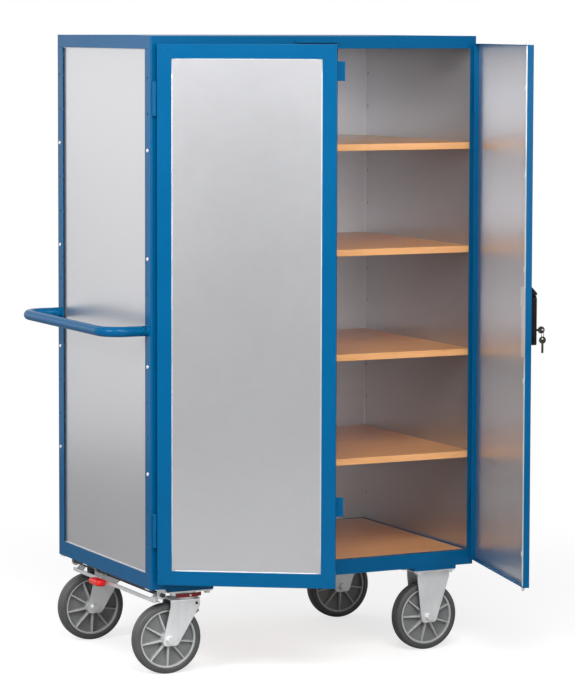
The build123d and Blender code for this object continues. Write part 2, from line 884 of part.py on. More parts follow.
hole_y = bow_y - key_hole_offset
ring_top = key_drop - key_hole_radius + ring_wire_radius + ring_play
ring_middle = ring_top - ring_radius
spare_hole = ring_middle - ring_radius - key_hole_radius + ring_wire_radius - ring_play
spare_bow = spare_hole - key_hole_offset
with BuildPart() as spare_key:
    with BuildSketch(placed(lock, (0, hole_y, ring_middle), ACROSS, UP)):
        with Locations((ring_radius, 0)):
            Circle(ring_wire_radius)
    revolve(axis=Axis(lock.from_local_coords(Vector(0, hole_y, ring_middle)), lock.y_dir))
    with BuildSketch(key_plane):
        with Locations((-hole_y, -spare_bow)):
            Circle(key_bow_radius)
        with Locations((-hole_y, -spare_bow + key_bow_radius + (key_blade_length - key_neck) / 2)):
            Rectangle(key_blade_width, key_blade_length + key_neck)
        with Locations((-hole_y, -spare_hole)):
            Circle(key_hole_radius, mode=Mode.SUBTRACT)
    extrude(amount=key_thickness)
keep(spare_key, "spare_key")

# Keepers on the cabinet that the lock rods enter

keeper_x = half_width - hinge_inset + lock_x
keeper_y = -half_depth - hinge_standoff + rod_y
with BuildPart() as rod_keepers:
    for z in (door_top + keeper_gap, door_bottom - keeper_gap - keeper_thickness):
        with BuildSketch(Plane.XY.offset(z)):
            with Locations(((keeper_right_reach - keeper_left_reach) / 2, -half_depth - keeper_depth / 2)):
                Rectangle(keeper_right_reach + keeper_left_reach, keeper_depth)
            with Locations((keeper_x, keeper_y)):
                Circle(keeper_hole_radius, mode=Mode.SUBTRACT)
        extrude(amount=keeper_thickness)
keep(rod_keepers, "rod_keepers")

# Bolts that hold the casters to the pads of the base frame

nut_seat = base_z + cross_thickness
with BuildPart() as caster_bolts:
    for x, y in bolt_places:
        foot = standing(x, y)
        with BuildSketch(level(foot, caster_height - plate_thickness - bolt_head_height)):
            RegularPolygon(bolt_head_width / 2, 6, major_radius=False)
        extrude(amount=bolt_head_height)
        with BuildSketch(level(foot, caster_height - plate_thickness)):
            Circle(bolt_radius)
        extrude(amount=nut_seat + bolt_head_height + bolt_end - caster_height + plate_thickness)
        with BuildSketch(level(foot, nut_seat)):
            RegularPolygon(bolt_head_width / 2, 6, major_radius=False)
        extrude(amount=bolt_head_height)
keep(caster_bolts, "caster_bolts")

# Forks: a pressed channel whose cheeks are trimmed to their outline

cheek_outside = cheek_gap / 2 + cheek_thickness


def cheek_outline(plane, crown_top, back, front, trail):
    """Side view of a fork: square under the crown, then tapering to its foot at the axle."""
    knee = crown_top - cheek_knee
    foot = wheel_radius - cheek_drop
    with BuildSketch(plane) as outline:
        Polygon(
            (-back, crown_top),
            (-back, knee),
            (-trail - cheek_foot, foot),
            (-trail + cheek_foot, foot),
            (front, knee),
            (front, crown_top),
            align=None,
        )
        fillet(outline.sketch_local.vertices().group_by(Axis.Y)[0], cheek_rounding)
    return outline.sketch


def fork_channel(frame, crown_top, back, front, trail):
    """Bent channel over the wheel, trimmed to the side view and drilled for the axle."""
    height = crown_top - wheel_radius + cheek_drop
    rear = max(back, trail + cheek_foot)
    rear_end = placed(frame, (-rear, 0, crown_top), INWARD, ACROSS)
    side = facing(frame, cheek_outside + overrun)
    view = cheek_outline(side, crown_top, back, front, trail)
    with BuildPart() as channel:
        with BuildSketch(rear_end):
            with Locations((0, -height / 2)):
                Rectangle(2 * cheek_outside, height)
        extrude(amount=rear + front)
        fillet(channel.edges().filter_by(Axis(frame.origin, frame.x_dir)).group_by(Axis.Z)[-1], cheek_bend)
        with BuildSketch(rear_end):
            with Locations((0, -crown_thickness - height / 2)):
                Rectangle(cheek_gap, height)
        extrude(amount=rear + front, mode=Mode.SUBTRACT)
        extrude(view, amount=2 * (cheek_outside + overrun), mode=Mode.INTERSECT)
        with BuildSketch(side):
            with Locations((-trail, wheel_radius)):
                Circle(axle_radius + pin_clearance)
        extrude(amount=2 * (cheek_outside + overrun), mode=Mode.SUBTRACT)
    return channel


plate_bottom = caster_height - plate_thickness
plain_forks = [
    fork_channel(frame, plate_bottom, fixed_back_reach, fixed_front_reach, fixed_trail)
    for frame in fixed_casters.values()
]
with BuildPart() as fixed_caster_forks:
    for frame, fork in zip(fixed_casters.values(), plain_forks):
        add(fork.part)
        with BuildSketch(level(frame, plate_bottom)):
            plate_with_holes(plate_length, plate_width)
        extrude(amount=plate_thickness)
keep(fixed_caster_forks, "fixed_caster_forks")


def axle_bolt(frame, trail):
    """Hexagon bolt through both cheeks, with washers and a nut."""
    with BuildPart() as bolt:
        for side in (-1, 1):
            face = side * cheek_outside
            with BuildSketch(facing(frame, face)):
                with Locations((-trail, wheel_radius)):
                    Circle(axle_washer_radius)
            extrude(amount=-side * axle_washer_thickness)
            with BuildSketch(facing(frame, face + side * axle_washer_thickness)):
                with Locations((-trail, wheel_radius)):
                    RegularPolygon(axle_head_width / 2, 6, major_radius=False)
            extrude(amount=-side * axle_head_height)
        with BuildSketch(facing(frame, cheek_outside)):
            with Locations((-trail, wheel_radius)):
                Circle(axle_radius)
        extrude(amount=2 * cheek_outside)
    return bolt


fixed_bolts = [axle_bolt(frame, fixed_trail) for frame in fixed_casters.values()]
with BuildPart() as fixed_caster_axles:
    for bolt in fixed_bolts:
        add(bolt.part)
keep(fixed_caster_axles, "fixed_caster_axles")

# Swivel casters: top plate with race and kingpin, and the fork that turns on it

lug_bottom = red_lever_z - red_lever_height / 2
kingpin_bottom = crown_height - crown_thickness - washer_play
with BuildPart() as swivel_top_plates:
    for x, y in pad_places[:2]:
        away = -1 if y < 0 else 1
        head = standing(x, y)
        with BuildSketch(level(head, plate_bottom)):
            plate_with_holes(plate_length, plate_width)
        extrude(amount=plate_thickness)
        with BuildSketch(level(head, plate_bottom)):
            Circle(race_radius)
        extrude(amount=-race_height)
        with BuildSketch(level(head, plate_bottom)):
            Circle(kingpin_radius)
        extrude(amount=kingpin_bottom - plate_bottom)
        with BuildSketch(level(head, kingpin_bottom)):
            RegularPolygon(kingpin_nut_width / 2, 6, major_radius=False)
        extrude(amount=-kingpin_nut_height)
        lug_y = away * (red_lever_y - red_lever_thickness / 2 - red_lever_play)
        with BuildSketch(placed(head, (0, lug_y, 0), ACROSS, -INWARD)):
            with Locations((0, (plate_bottom + lug_bottom) / 2)):
                Rectangle(red_lever_lug_width, plate_bottom - lug_bottom)
        extrude(amount=away * plate_thickness)
        with BuildSketch(placed(head, (0, lug_y, 0), ACROSS, -INWARD)):
            with Locations((0, red_lever_z)):
                Circle(red_lever_pin_radius)
        extrude(amount=-away * (red_lever_thickness + 2 * red_lever_play))
keep(swivel_top_plates, "swivel_top_plates")


def swivel_fork(frame):
    channel = fork_channel(frame, crown_height, swivel_back_reach, swivel_front_reach, swivel_trail)
    with BuildPart() as fork:
        add(channel.part)
        with BuildSketch(level(frame, crown_height)):
            Circle(cup_radius)
        extrude(amount=cup_rise)
        with BuildSketch(level(frame, crown_height + overrun)):
            Circle(race_radius - overrun)
        extrude(amount=cup_rise, mode=Mode.SUBTRACT)
        with BuildSketch(level(frame, crown_height - crown_thickness - overrun)):
            Circle(kingpin_radius + pin_clearance)
        extrude(amount=cup_rise + crown_thickness + 2 * overrun, mode=Mode.SUBTRACT)
        with BuildSketch(facing(frame, cheek_outside + overrun)):
            with Locations((shoe_pin_x, shoe_pin_z)):
                Circle(shoe_pin_radius + pin_clearance)
        extrude(amount=2 * (cheek_outside + overrun), mode=Mode.SUBTRACT)
    return fork


def brake_shoe(frame):
    """Block curved to the tyre, hung from a cross pin between the cheeks."""
    inner = wheel_radius + shoe_gap
    outer = inner + shoe_thickness
    centre = Vector(-swivel_trail, wheel_radius)
    start = Vector(1, 0).rotate(Axis.Z, shoe_angle)
    middle = Vector(1, 0).rotate(Axis.Z, shoe_angle + shoe_span / 2)
    end = Vector(1, 0).rotate(Axis.Z, shoe_angle + shoe_span)
    pin = Vector(shoe_pin_x, shoe_pin_z)
    with BuildPart() as shoe:
        with BuildSketch(facing(frame, shoe_width / 2)):
            with BuildLine():
                ThreePointArc(centre + start * inner, centre + middle * inner, centre + end * inner)
                Line(centre + end * inner, centre + end * outer)
                ThreePointArc(centre + end * outer, centre + middle * outer, centre + start * outer)
                Line(centre + start * outer, centre + start * inner)
            make_face()
            Polygon(pin, centre + end * outer, centre + start * outer, align=None)
            with Locations(pin):
                Circle(2 * shoe_pin_radius)
        extrude(amount=shoe_width)
        with BuildSketch(facing(frame, cheek_outside)):
            with Locations(pin):
                Circle(shoe_pin_radius)
        extrude(amount=2 * cheek_outside)
    return shoe


for frame, name in zip(swivel_casters.values(), ("front", "rear")):
    keep(swivel_fork(frame), f"swivel_fork_{name}")
    keep(axle_bolt(frame, swivel_trail), f"swivel_axle_{name}")
    keep(brake_shoe(frame), f"brake_shoe_{name}")

# Wheels: profiles in the plane of the axle, turned about it


def make_tyre(frame):
    seat = tyre_seat_radius + tyre_play
    with BuildPart() as tyre:
        with BuildSketch(frame) as section:
            with Locations(((wheel_radius + seat) / 2, 0)):
                Rectangle(wheel_radius - seat, tyre_width)
            local = section.sketch_local.vertices()
            fillet(local.group_by(Axis.X)[-1], tyre_rounding)
        revolve(axis=depth_axis(frame))
    return tyre


def make_rim(frame):
    """Moulded wheel centre: hub, web, ten spokes and the ring that seats the tyre."""
    ring_inner = tyre_seat_radius - rim_thickness
    with BuildPart() as rim:
        with BuildSketch(frame):
            with Locations(((bearing_radius + hub_radius) / 2, 0)):
                Rectangle(hub_radius - bearing_radius, hub_width)
            with Locations(((bearing_radius + ring_inner) / 2, 0)):
                Rectangle(ring_inner - bearing_radius, web_thickness)
            with Locations((ring_inner + rim_thickness / 2, 0)):
                Rectangle(rim_thickness, rim_width)
            with Locations((ring_inner + rim_thickness / 2 - rim_lip / 2, 0)):
                Rectangle(rim_thickness + rim_lip, rim_width / 2)
        revolve(axis=depth_axis(frame))
        spoke_length = ring_inner - hub_radius + rim_thickness
        with BuildSketch(facing(frame, 0)):
            with PolarLocations((ring_inner + hub_radius) / 2, spoke_count):
                Rectangle(spoke_length, spoke_thickness)
        extrude(amount=spoke_reach, both=True)
    return rim


def make_bearing(frame):
    """Two sealed ball bearings on the spacer tube that runs on the axle."""
    bore = axle_radius + pin_clearance
    outside = bearing_radius - pin_clearance
    with BuildPart() as bearing:
        with BuildSketch(frame):
            with Locations(((bore + spacer_radius) / 2, 0)):
                Rectangle(spacer_radius - bore, cheek_gap - 2 * tyre_play)
            for side in (-1, 1):
                with Locations(((bore + outside) / 2, side * (hub_width - bearing_width) / 2)):
                    Rectangle(outside - bore, bearing_width)
        revolve(axis=depth_axis(frame))
    return bearing


wheel_frames = {}
for name, frame in fixed_casters.items():
    wheel_frames[name] = placed(frame, (-fixed_trail, 0, wheel_radius), ACROSS, UP)
for name, frame in swivel_casters.items():
    wheel_frames[name] = placed(frame, (-swivel_trail, 0, wheel_radius), ACROSS, UP)
for name, frame in wheel_frames.items():
    keep(make_tyre(frame), f"tyre_{name}")
    keep(make_rim(frame), f"rim_{name}")
    keep(make_bearing(frame), f"bearing_{name}")

# Foot brake: brackets, cross shaft, foot bar, pedal and the red levers at the swivel heads

with BuildPart() as brake_brackets:
    for share in brake_bracket_shares:
        y = share * half_depth
        with BuildSketch(facing(cabinet, y)):
            with Locations((brake_x, (base_z + brake_z) / 2 - bracket_thickness)):
                Rectangle(bracket_width, base_z - brake_z + 2 * bracket_thickness)
            with Locations((brake_x, brake_z)):
                Circle(bracket_width / 2)
            with Locations((brake_x, brake_z)):
                Circle(brake_shaft_radius + pin_clearance, mode=Mode.SUBTRACT)
        extrude(amount=bracket_thickness)
        with BuildSketch(Plane.XY.offset(base_z - bracket_thickness)):
            with Locations((-half_width + bracket_flange / 2, y + bracket_width / 2 - bracket_thickness)):
                Rectangle(bracket_flange, bracket_width)
        extrude(amount=bracket_thickness)
keep(brake_brackets, "brake_brackets")

brake_shaft_front = -half_depth + brake_shaft_front_inset
brake_shaft_rear = half_depth - brake_shaft_rear_inset
with BuildPart() as brake_shaft:
    with BuildSketch(facing(cabinet, brake_shaft_rear)):
        with Locations((brake_x, brake_z)):
            Circle(brake_shaft_radius)
    extrude(amount=brake_shaft_rear - brake_shaft_front)
keep(brake_shaft, "brake_shaft")

foot_bar_front = -half_depth + foot_bar_front_inset
foot_bar_rear = half_depth - foot_bar_rear_inset
with BuildPart() as brake_bar:
    with BuildSketch(facing(cabinet, foot_bar_rear)):
        with Locations((foot_bar_x + foot_bar_size / 2, foot_bar_z + foot_bar_wall / 2)):
            Rectangle(foot_bar_size, foot_bar_wall)
        with Locations((foot_bar_x + foot_bar_wall / 2, foot_bar_z + foot_bar_size / 4)):
            Rectangle(foot_bar_wall, foot_bar_size / 2)
    extrude(amount=foot_bar_rear - foot_bar_front)
    for share in foot_arm_shares:
        with BuildSketch(facing(cabinet, share * half_depth)):
            with BuildLine():
                Polyline(
                    (foot_bar_x, foot_bar_z),
                    (foot_bar_x + foot_bar_size, foot_bar_z),
                    (brake_x + 2 * brake_shaft_radius, brake_z),
                    (brake_x, brake_z + 2 * brake_shaft_radius),
                    (foot_bar_x, foot_bar_z + foot_bar_size / 2),
                    close=True,
                )
            make_face()
            with Locations((brake_x, brake_z)):
                Circle(brake_shaft_radius + pin_clearance, mode=Mode.SUBTRACT)
        extrude(amount=foot_arm_thickness)
keep(brake_bar, "brake_bar")

with BuildPart() as brake_pedal:
    with BuildSketch(Plane.XY.offset(foot_bar_z - pedal_drop)):
        with Locations((foot_bar_x - pedal_reach / 2, pedal_share * half_depth)):
            RectangleRounded(pedal_reach, pedal_length, pedal_rounding)
    extrude(amount=pedal_thickness)
    fillet(brake_pedal.faces().filter_by(Axis.Z).edges(), pedal_edge)
keep(brake_pedal, "brake_pedal")


def red_lever(x, y):
    """Rocking lever beside a swivel head, its front end turned up."""
    away = -1 if y < 0 else 1
    head = standing(x, y)
    half = red_lever_height / 2
    inner = away * (red_lever_y - red_lever_thickness / 2)
    with BuildPart() as lever:
        with BuildSketch(placed(head, (0, inner, red_lever_z), ACROSS, -INWARD)):
            with BuildLine():
                Polyline(
                    (-red_lever_back, -half),
                    (red_lever_front / 2, -half),
                    (red_lever_front, -half + red_lever_rise),
                    (red_lever_front, half + red_lever_rise),
                    (red_lever_front / 2, half),
                    (-red_lever_back, half),
                    close=True,
                )
            make_face()
            Circle(red_lever_pin_radius + pin_clearance, mode=Mode.SUBTRACT)
        extrude(amount=-away * red_lever_thickness)
    return lever


for (x, y), name in zip(pad_places[:2], ("front", "rear")):
    keep(red_lever(x, y), f"brake_lever_{name}")
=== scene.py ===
# %% [markdown]
# An enclosed utility cart: a blue steel cabinet on four casters, with two doors of zinc coated
# sheet, beech boards inside and a bent push handle on its left end.
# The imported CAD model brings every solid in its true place. This script gives each piece its finish,
# adds the small forms that the solids leave out, and sets up the floor, the light and the camera.

import json
import math

import bmesh
import bpy
import numpy as np
from mathutils import Matrix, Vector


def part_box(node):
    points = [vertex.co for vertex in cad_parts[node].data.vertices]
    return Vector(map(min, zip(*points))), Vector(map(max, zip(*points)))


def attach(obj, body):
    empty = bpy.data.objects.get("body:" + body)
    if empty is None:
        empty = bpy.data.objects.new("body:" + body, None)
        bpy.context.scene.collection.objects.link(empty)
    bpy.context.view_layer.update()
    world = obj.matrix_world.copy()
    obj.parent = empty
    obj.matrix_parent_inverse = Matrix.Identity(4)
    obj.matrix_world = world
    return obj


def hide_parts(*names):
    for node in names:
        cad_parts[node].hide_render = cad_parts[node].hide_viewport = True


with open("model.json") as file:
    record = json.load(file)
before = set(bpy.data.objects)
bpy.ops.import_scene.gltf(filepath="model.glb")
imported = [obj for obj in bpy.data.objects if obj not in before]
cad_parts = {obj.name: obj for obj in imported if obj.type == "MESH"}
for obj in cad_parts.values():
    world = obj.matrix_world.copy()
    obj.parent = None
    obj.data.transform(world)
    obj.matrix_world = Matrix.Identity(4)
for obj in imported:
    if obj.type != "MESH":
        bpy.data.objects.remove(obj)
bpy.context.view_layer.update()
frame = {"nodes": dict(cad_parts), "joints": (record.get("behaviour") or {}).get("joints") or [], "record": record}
nodes = frame["nodes"]

# %% [markdown]
# The camera comes first, because it decides how much detail any piece needs. The photographer stood
# to the left and far away, with the lens at roof height, so edges stay almost parallel. The view is
# tilted down a little and the lens is shifted down a little more, which keeps uprights near upright.

# %% Camera
# Height of the picture, focal length and the row where the lens points, all in picture points.
picture_high = 700
focal_points = 3154.8
lens_middle = 280.0
# Size of the sensor in millimetres, and place and sight of the camera in metres and degrees.
sensor_size = 36
farthest_seen = 100
camera_place = (-4.0167, -8.2947, 1.8262)
camera_turn, camera_tilt, camera_roll = map(math.radians, (-26.2545, -4.66, 0.15))


def camera_axes(turn, tilt, roll):
    """Right, up and backward directions: the view turned about Z, then tilted, then rolled."""
    level = np.array([-math.sin(turn), math.cos(turn), 0.0])
    ahead = level * math.cos(tilt) + np.array([0, 0, math.sin(tilt)])
    across = np.array([math.cos(turn), math.sin(turn), 0.0])
    above = np.cross(across, ahead)
    right = across * math.cos(roll) + above * math.sin(roll)
    up = above * math.cos(roll) - across * math.sin(roll)
    return np.column_stack([right, up, -ahead])


camera_data = bpy.data.cameras.new("camera")
camera_data.sensor_width = sensor_size
camera_data.lens = focal_points / picture_high * sensor_size
camera_data.shift_y = (lens_middle - picture_high / 2) / picture_high
camera_data.clip_end = farthest_seen
camera = bpy.data.objects.new("camera", camera_data)
bpy.context.scene.collection.objects.link(camera)
bpy.context.scene.camera = camera
pose = np.eye(4)
pose[:3, :3] = camera_axes(camera_turn, camera_tilt, camera_roll)
pose[:3, 3] = camera_place
camera.matrix_world = Matrix(pose.tolist())
print("lens", round(camera_data.lens, 1), "mm, shift", round(camera_data.shift_y, 3))

# %% [markdown]
# Every finish is a Principled shader fed by shared effects. Each effect is a node group that reads
# Object coordinates, so its pattern is fixed to the piece in metres, whatever the camera does.
# The helper below makes an empty group with named sockets; each effect then fills one in.

# %% A helper for node groups


def node_group(name, inputs, outputs):
    """An empty node group with named sockets, and its input and output nodes."""
    group = bpy.data.node_groups.new(name, "ShaderNodeTree")
    for label, kind, value in inputs:
        socket = group.interface.new_socket(label, in_out="INPUT", socket_type=kind)
        socket.default_value = value
    for label, kind in outputs:
        group.interface.new_socket(label, in_out="OUTPUT", socket_type=kind)
    return group, group.nodes.new("NodeGroupInput"), group.nodes.new("NodeGroupOutput")


def stretched_place(group, inside):
    """Object coordinates times the group's Stretch, so a pattern can run along one direction."""
    place = group.nodes.new("ShaderNodeTexCoord")
    stretch = group.nodes.new("ShaderNodeVectorMath")
    stretch.operation = "MULTIPLY"
    group.links.new(place.outputs["Object"], stretch.inputs[0])
    group.links.new(inside.outputs["Stretch"], stretch.inputs[1])
    return stretch.outputs["Vector"]


def ranged(group, value, low, high, to_low=0.0, to_high=1.0):
    """A value spread from low..high to to_low..to_high; the ends may be numbers or sockets."""
    node = group.nodes.new("ShaderNodeMapRange")
    group.links.new(value, node.inputs["Value"])
    for label, end in (("From Min", low), ("From Max", high), ("To Min", to_low), ("To Max", to_high)):
        if isinstance(end, (int, float)):
            node.inputs[label].default_value = end
        else:
            group.links.new(end, node.inputs[label])
    return node.outputs["Result"]


def mixed(group, factor, first, second):
    """Colour between first and second by factor."""
    node = group.nodes.new("ShaderNodeMix")
    node.data_type = "RGBA"
    group.links.new(factor, node.inputs["Factor"])
    group.links.new(first, node.inputs["A"])
    group.links.new(second, node.inputs["B"])
    return node.outputs["Result"]


# %% [markdown]
# Mottle is the slow unevenness that every real surface has: paint that is a little thicker here,
# rubber that is a little dustier there. Layered noise is spread between two colours and two values.
# It seldom leaves the middle of its range, so that middle is what gets spread.

# %% Mottle
noise_low, noise_high = 0.35, 0.65


def mottle_group():
    """Mottle: layered noise on stretched coordinates, spread to two colours and two values."""
    group, inside, out = node_group("mottle", [
        ("Scale", "NodeSocketFloat", 10.0),
        ("Stretch", "NodeSocketVector", (1.0, 1.0, 1.0)),
        ("Colour A", "NodeSocketColor", (0.5, 0.5, 0.5, 1)),
        ("Colour B", "NodeSocketColor", (0.6, 0.6, 0.6, 1)),
        ("Low", "NodeSocketFloat", 0.3),
        ("High", "NodeSocketFloat", 0.5),
    ], [("Colour", "NodeSocketColor"), ("Value", "NodeSocketFloat")])
    noise = group.nodes.new("ShaderNodeTexNoise")
    noise.inputs["Detail"].default_value = 5
    noise.inputs["Roughness"].default_value = 0.55
    group.links.new(stretched_place(group, inside), noise.inputs["Vector"])
    group.links.new(inside.outputs["Scale"], noise.inputs["Scale"])
    level = ranged(group, noise.outputs["Fac"], noise_low, noise_high)
    colour = mixed(group, level, inside.outputs["Colour A"], inside.outputs["Colour B"])
    value = ranged(group, noise.outputs["Fac"], noise_low, noise_high,
                   inside.outputs["Low"], inside.outputs["High"])
    group.links.new(colour, out.inputs["Colour"])
    group.links.new(value, out.inputs["Value"])
    return group


mottle = mottle_group()
print("mottle has", len(mottle.nodes), "nodes")

# %% [markdown]
# Relief is the fine skin that catches light in a highlight: the orange peel of powder coat, the
# matt skin of rubber, the drawn lines of plated sheet. It only gives a height for a Bump node.

# %% Relief


def relief_group():
    """Relief: fine noise on stretched object coordinates, its height in metres given by Depth."""
    group, inside, out = node_group("relief", [
        ("Scale", "NodeSocketFloat", 500.0),
        ("Stretch", "NodeSocketVector", (1.0, 1.0, 1.0)),
        ("Depth", "NodeSocketFloat", 0.0001),
    ], [("Height", "NodeSocketFloat")])
    noise = group.nodes.new("ShaderNodeTexNoise")
    noise.inputs["Detail"].default_value = 3
    deep = group.nodes.new("ShaderNodeMath")
    deep.operation = "MULTIPLY"
    group.links.new(stretched_place(group, inside), noise.inputs["Vector"])
    group.links.new(inside.outputs["Scale"], noise.inputs["Scale"])
    group.links.new(noise.outputs["Fac"], deep.inputs[0])
    group.links.new(inside.outputs["Depth"], deep.inputs[1])
    group.links.new(deep.outputs["Value"], out.inputs["Height"])
    return group


relief = relief_group()
print("relief has", len(relief.nodes), "nodes")

# %% [markdown]
# Real edges are never knife sharp. Paint rounds them and hands rub them, so they catch a thin line
# of light. The Bevel node gives a normal that is rounded near edges, and where it turns away from
# the true normal there is an edge, which makes a mask for a paler edge colour: partly wear, partly a
# painted highlight. Noise breaks it up.

# %% Edges
# Cosine of the angle between the two normals where the edge mask (wear and painted highlight) starts and where it
# is full.
edge_mask_start, edge_mask_full = 0.995, 0.9
break_low, break_high = 0.35, 0.7


def edge_group():
    """Edges: the rounded normal of a small radius, and a broken mask where it leaves the true one."""
    group, inside, out = node_group("edges", [
        ("Radius", "NodeSocketFloat", 0.0012),
        ("Break up", "NodeSocketFloat", 160.0),
    ], [("Normal", "NodeSocketVector"), ("Mask", "NodeSocketFloat")])
    new, link = group.nodes.new, group.links.new
    rounded = new("ShaderNodeBevel")
    rounded.samples = 4
    true = new("ShaderNodeNewGeometry")
    turn = new("ShaderNodeVectorMath")
    turn.operation = "DOT_PRODUCT"
    place = new("ShaderNodeTexCoord")
    noise = new("ShaderNodeTexNoise")
    both = new("ShaderNodeMath")
    both.operation = "MULTIPLY"
    link(inside.outputs["Radius"], rounded.inputs["Radius"])
    link(rounded.outputs["Normal"], turn.inputs[0])
    link(true.outputs["True Normal"], turn.inputs[1])
    link(place.outputs["Object"], noise.inputs["Vector"])
    link(inside.outputs["Break up"], noise.inputs["Scale"])
    link(ranged(group, turn.outputs["Value"], edge_mask_start, edge_mask_full), both.inputs[0])
    link(ranged(group, noise.outputs["Fac"], break_low, break_high), both.inputs[1])
    link(rounded.outputs["Normal"], out.inputs["Normal"])
    link(both.outputs["Value"], out.inputs["Mask"])
    return group


edges = edge_group()
print("edges has", len(edges.nodes), "nodes")

# %% [markdown]
# The boards are beech: a pale orange wood with a straight, even grain that runs along the cart, and
# short dark dashes where its rays are cut. Two noises do it, both drawn out along X: a broad one for
# the grain and a fine one, kept only where it is high, for the dashes.

# %% Beech grain
streak_low, streak_high = 0.3, 0.7
dash_low, dash_high, dash_share = 0.6, 0.75, 0.5
pore_low, pore_high, pore_height = 0.4, 0.8, 0.00004


def grain_group():
    """Grain: long streaks of noise between two colours, darkened by short dashes of finer noise."""
    group, inside, out = node_group("beech_grain", [
        ("Pale", "NodeSocketColor", (0.8, 0.5, 0.2, 1)),
        ("Dark", "NodeSocketColor", (0.6, 0.3, 0.1, 1)),
        ("Dash", "NodeSocketColor", (0.4, 0.2, 0.1, 1)),
        ("Stretch", "NodeSocketVector", (0.06, 1.0, 1.0)),
    ], [("Colour", "NodeSocketColor"), ("Height", "NodeSocketFloat")])
    new, link = group.nodes.new, group.links.new
    where = stretched_place(group, inside)
    streak = new("ShaderNodeTexNoise")
    streak.inputs["Scale"].default_value = 55
    streak.inputs["Detail"].default_value = 6
    streak.inputs["Distortion"].default_value = 0.4
    dash = new("ShaderNodeTexNoise")
    dash.inputs["Scale"].default_value = 420
    dash.inputs["Detail"].default_value = 1
    link(where, streak.inputs["Vector"])
    link(where, dash.inputs["Vector"])
    base = mixed(group, ranged(group, streak.outputs["Fac"], streak_low, streak_high),
                 inside.outputs["Dark"], inside.outputs["Pale"])
    marks = ranged(group, dash.outputs["Fac"], dash_low, dash_high, 0.0, dash_share)
    pores = ranged(group, dash.outputs["Fac"], pore_low, pore_high, 0.0, pore_height)
    link(mixed(group, marks, base, inside.outputs["Dash"]), out.inputs["Colour"])
    link(pores, out.inputs["Height"])
    return group


grain = grain_group()
print("grain has", len(grain.nodes), "nodes")

# %% [markdown]
# Zinc coated sheet shows faint crystal patches a finger's width across. Voronoi cells give each
# patch its own tone, and the two colours stay so close that the sheet looks plain from afar.

# %% Zinc crystals
cell_share = 0.4
cloud_low, cloud_high = 0.3, 0.7


def crystal_group():
    """Crystals: a tone per Voronoi cell plus layered noise, spread to two colours and two values."""
    group, inside, out = node_group("zinc_crystals", [
        ("Scale", "NodeSocketFloat", 60.0),
        ("Stretch", "NodeSocketVector", (1.0, 1.0, 1.0)),
        ("Colour A", "NodeSocketColor", (0.7, 0.7, 0.7, 1)),
        ("Colour B", "NodeSocketColor", (0.75, 0.75, 0.75, 1)),
        ("Low", "NodeSocketFloat", 0.3),
        ("High", "NodeSocketFloat", 0.4),
    ], [("Colour", "NodeSocketColor"), ("Value", "NodeSocketFloat")])
    new, link = group.nodes.new, group.links.new
    where = stretched_place(group, inside)
    cell = new("ShaderNodeTexVoronoi")
    tone = new("ShaderNodeSeparateColor")
    noise = new("ShaderNodeTexNoise")
    noise.inputs["Detail"].default_value = 4
    mean = new("ShaderNodeMath")
    mean.operation = "MULTIPLY_ADD"
    mean.inputs[1].default_value = cell_share
    link(where, cell.inputs["Vector"])
    link(inside.outputs["Scale"], cell.inputs["Scale"])
    link(where, noise.inputs["Vector"])
    noise.inputs["Scale"].default_value = 3
    link(cell.outputs["Color"], tone.inputs["Color"])
    link(tone.outputs["Red"], mean.inputs[0])
    clouds = ranged(group, noise.outputs["Fac"], cloud_low, cloud_high, 0.0, 1 - cell_share)
    link(clouds, mean.inputs[2])
    tint = mixed(group, mean.outputs["Value"], inside.outputs["Colour A"], inside.outputs["Colour B"])
    value = ranged(group, mean.outputs["Value"], 0.0, 1.0, inside.outputs["Low"], inside.outputs["High"])
    link(tint, out.inputs["Colour"])
    link(value, out.inputs["Value"])
    return group


crystals = crystal_group()
print("crystals has", len(crystals.nodes), "nodes")

# %% [markdown]
# One function puts an effect, the rounded edges and the skin together in a material. Numbers that
# are the same all over, such as metallic or specular, are set on the shader itself. A paler colour
# goes on edges, partly wear and partly a painted highlight, and a painted highlight colour goes on
# raised places, where a mesh says so by an attribute of its own.

# %% Putting a finish together


def placed_group(tree, group, **values):
    """A group in a material, with its inputs set by name (underscores stand for spaces)."""
    node = tree.nodes.new("ShaderNodeGroup")
    node.node_tree = group
    for label, value in values.items():
        node.inputs[label.replace("_", " ")].default_value = value
    return node


def tinted(tree, share, colour, tint):
    """Colour blended towards one fixed tint by a share."""
    node = tree.nodes.new("ShaderNodeMix")
    node.data_type = "RGBA"
    node.inputs["B"].default_value = (*tint, 1)
    tree.links.new(share, node.inputs["Factor"])
    tree.links.new(colour, node.inputs["A"])
    return node.outputs["Result"]


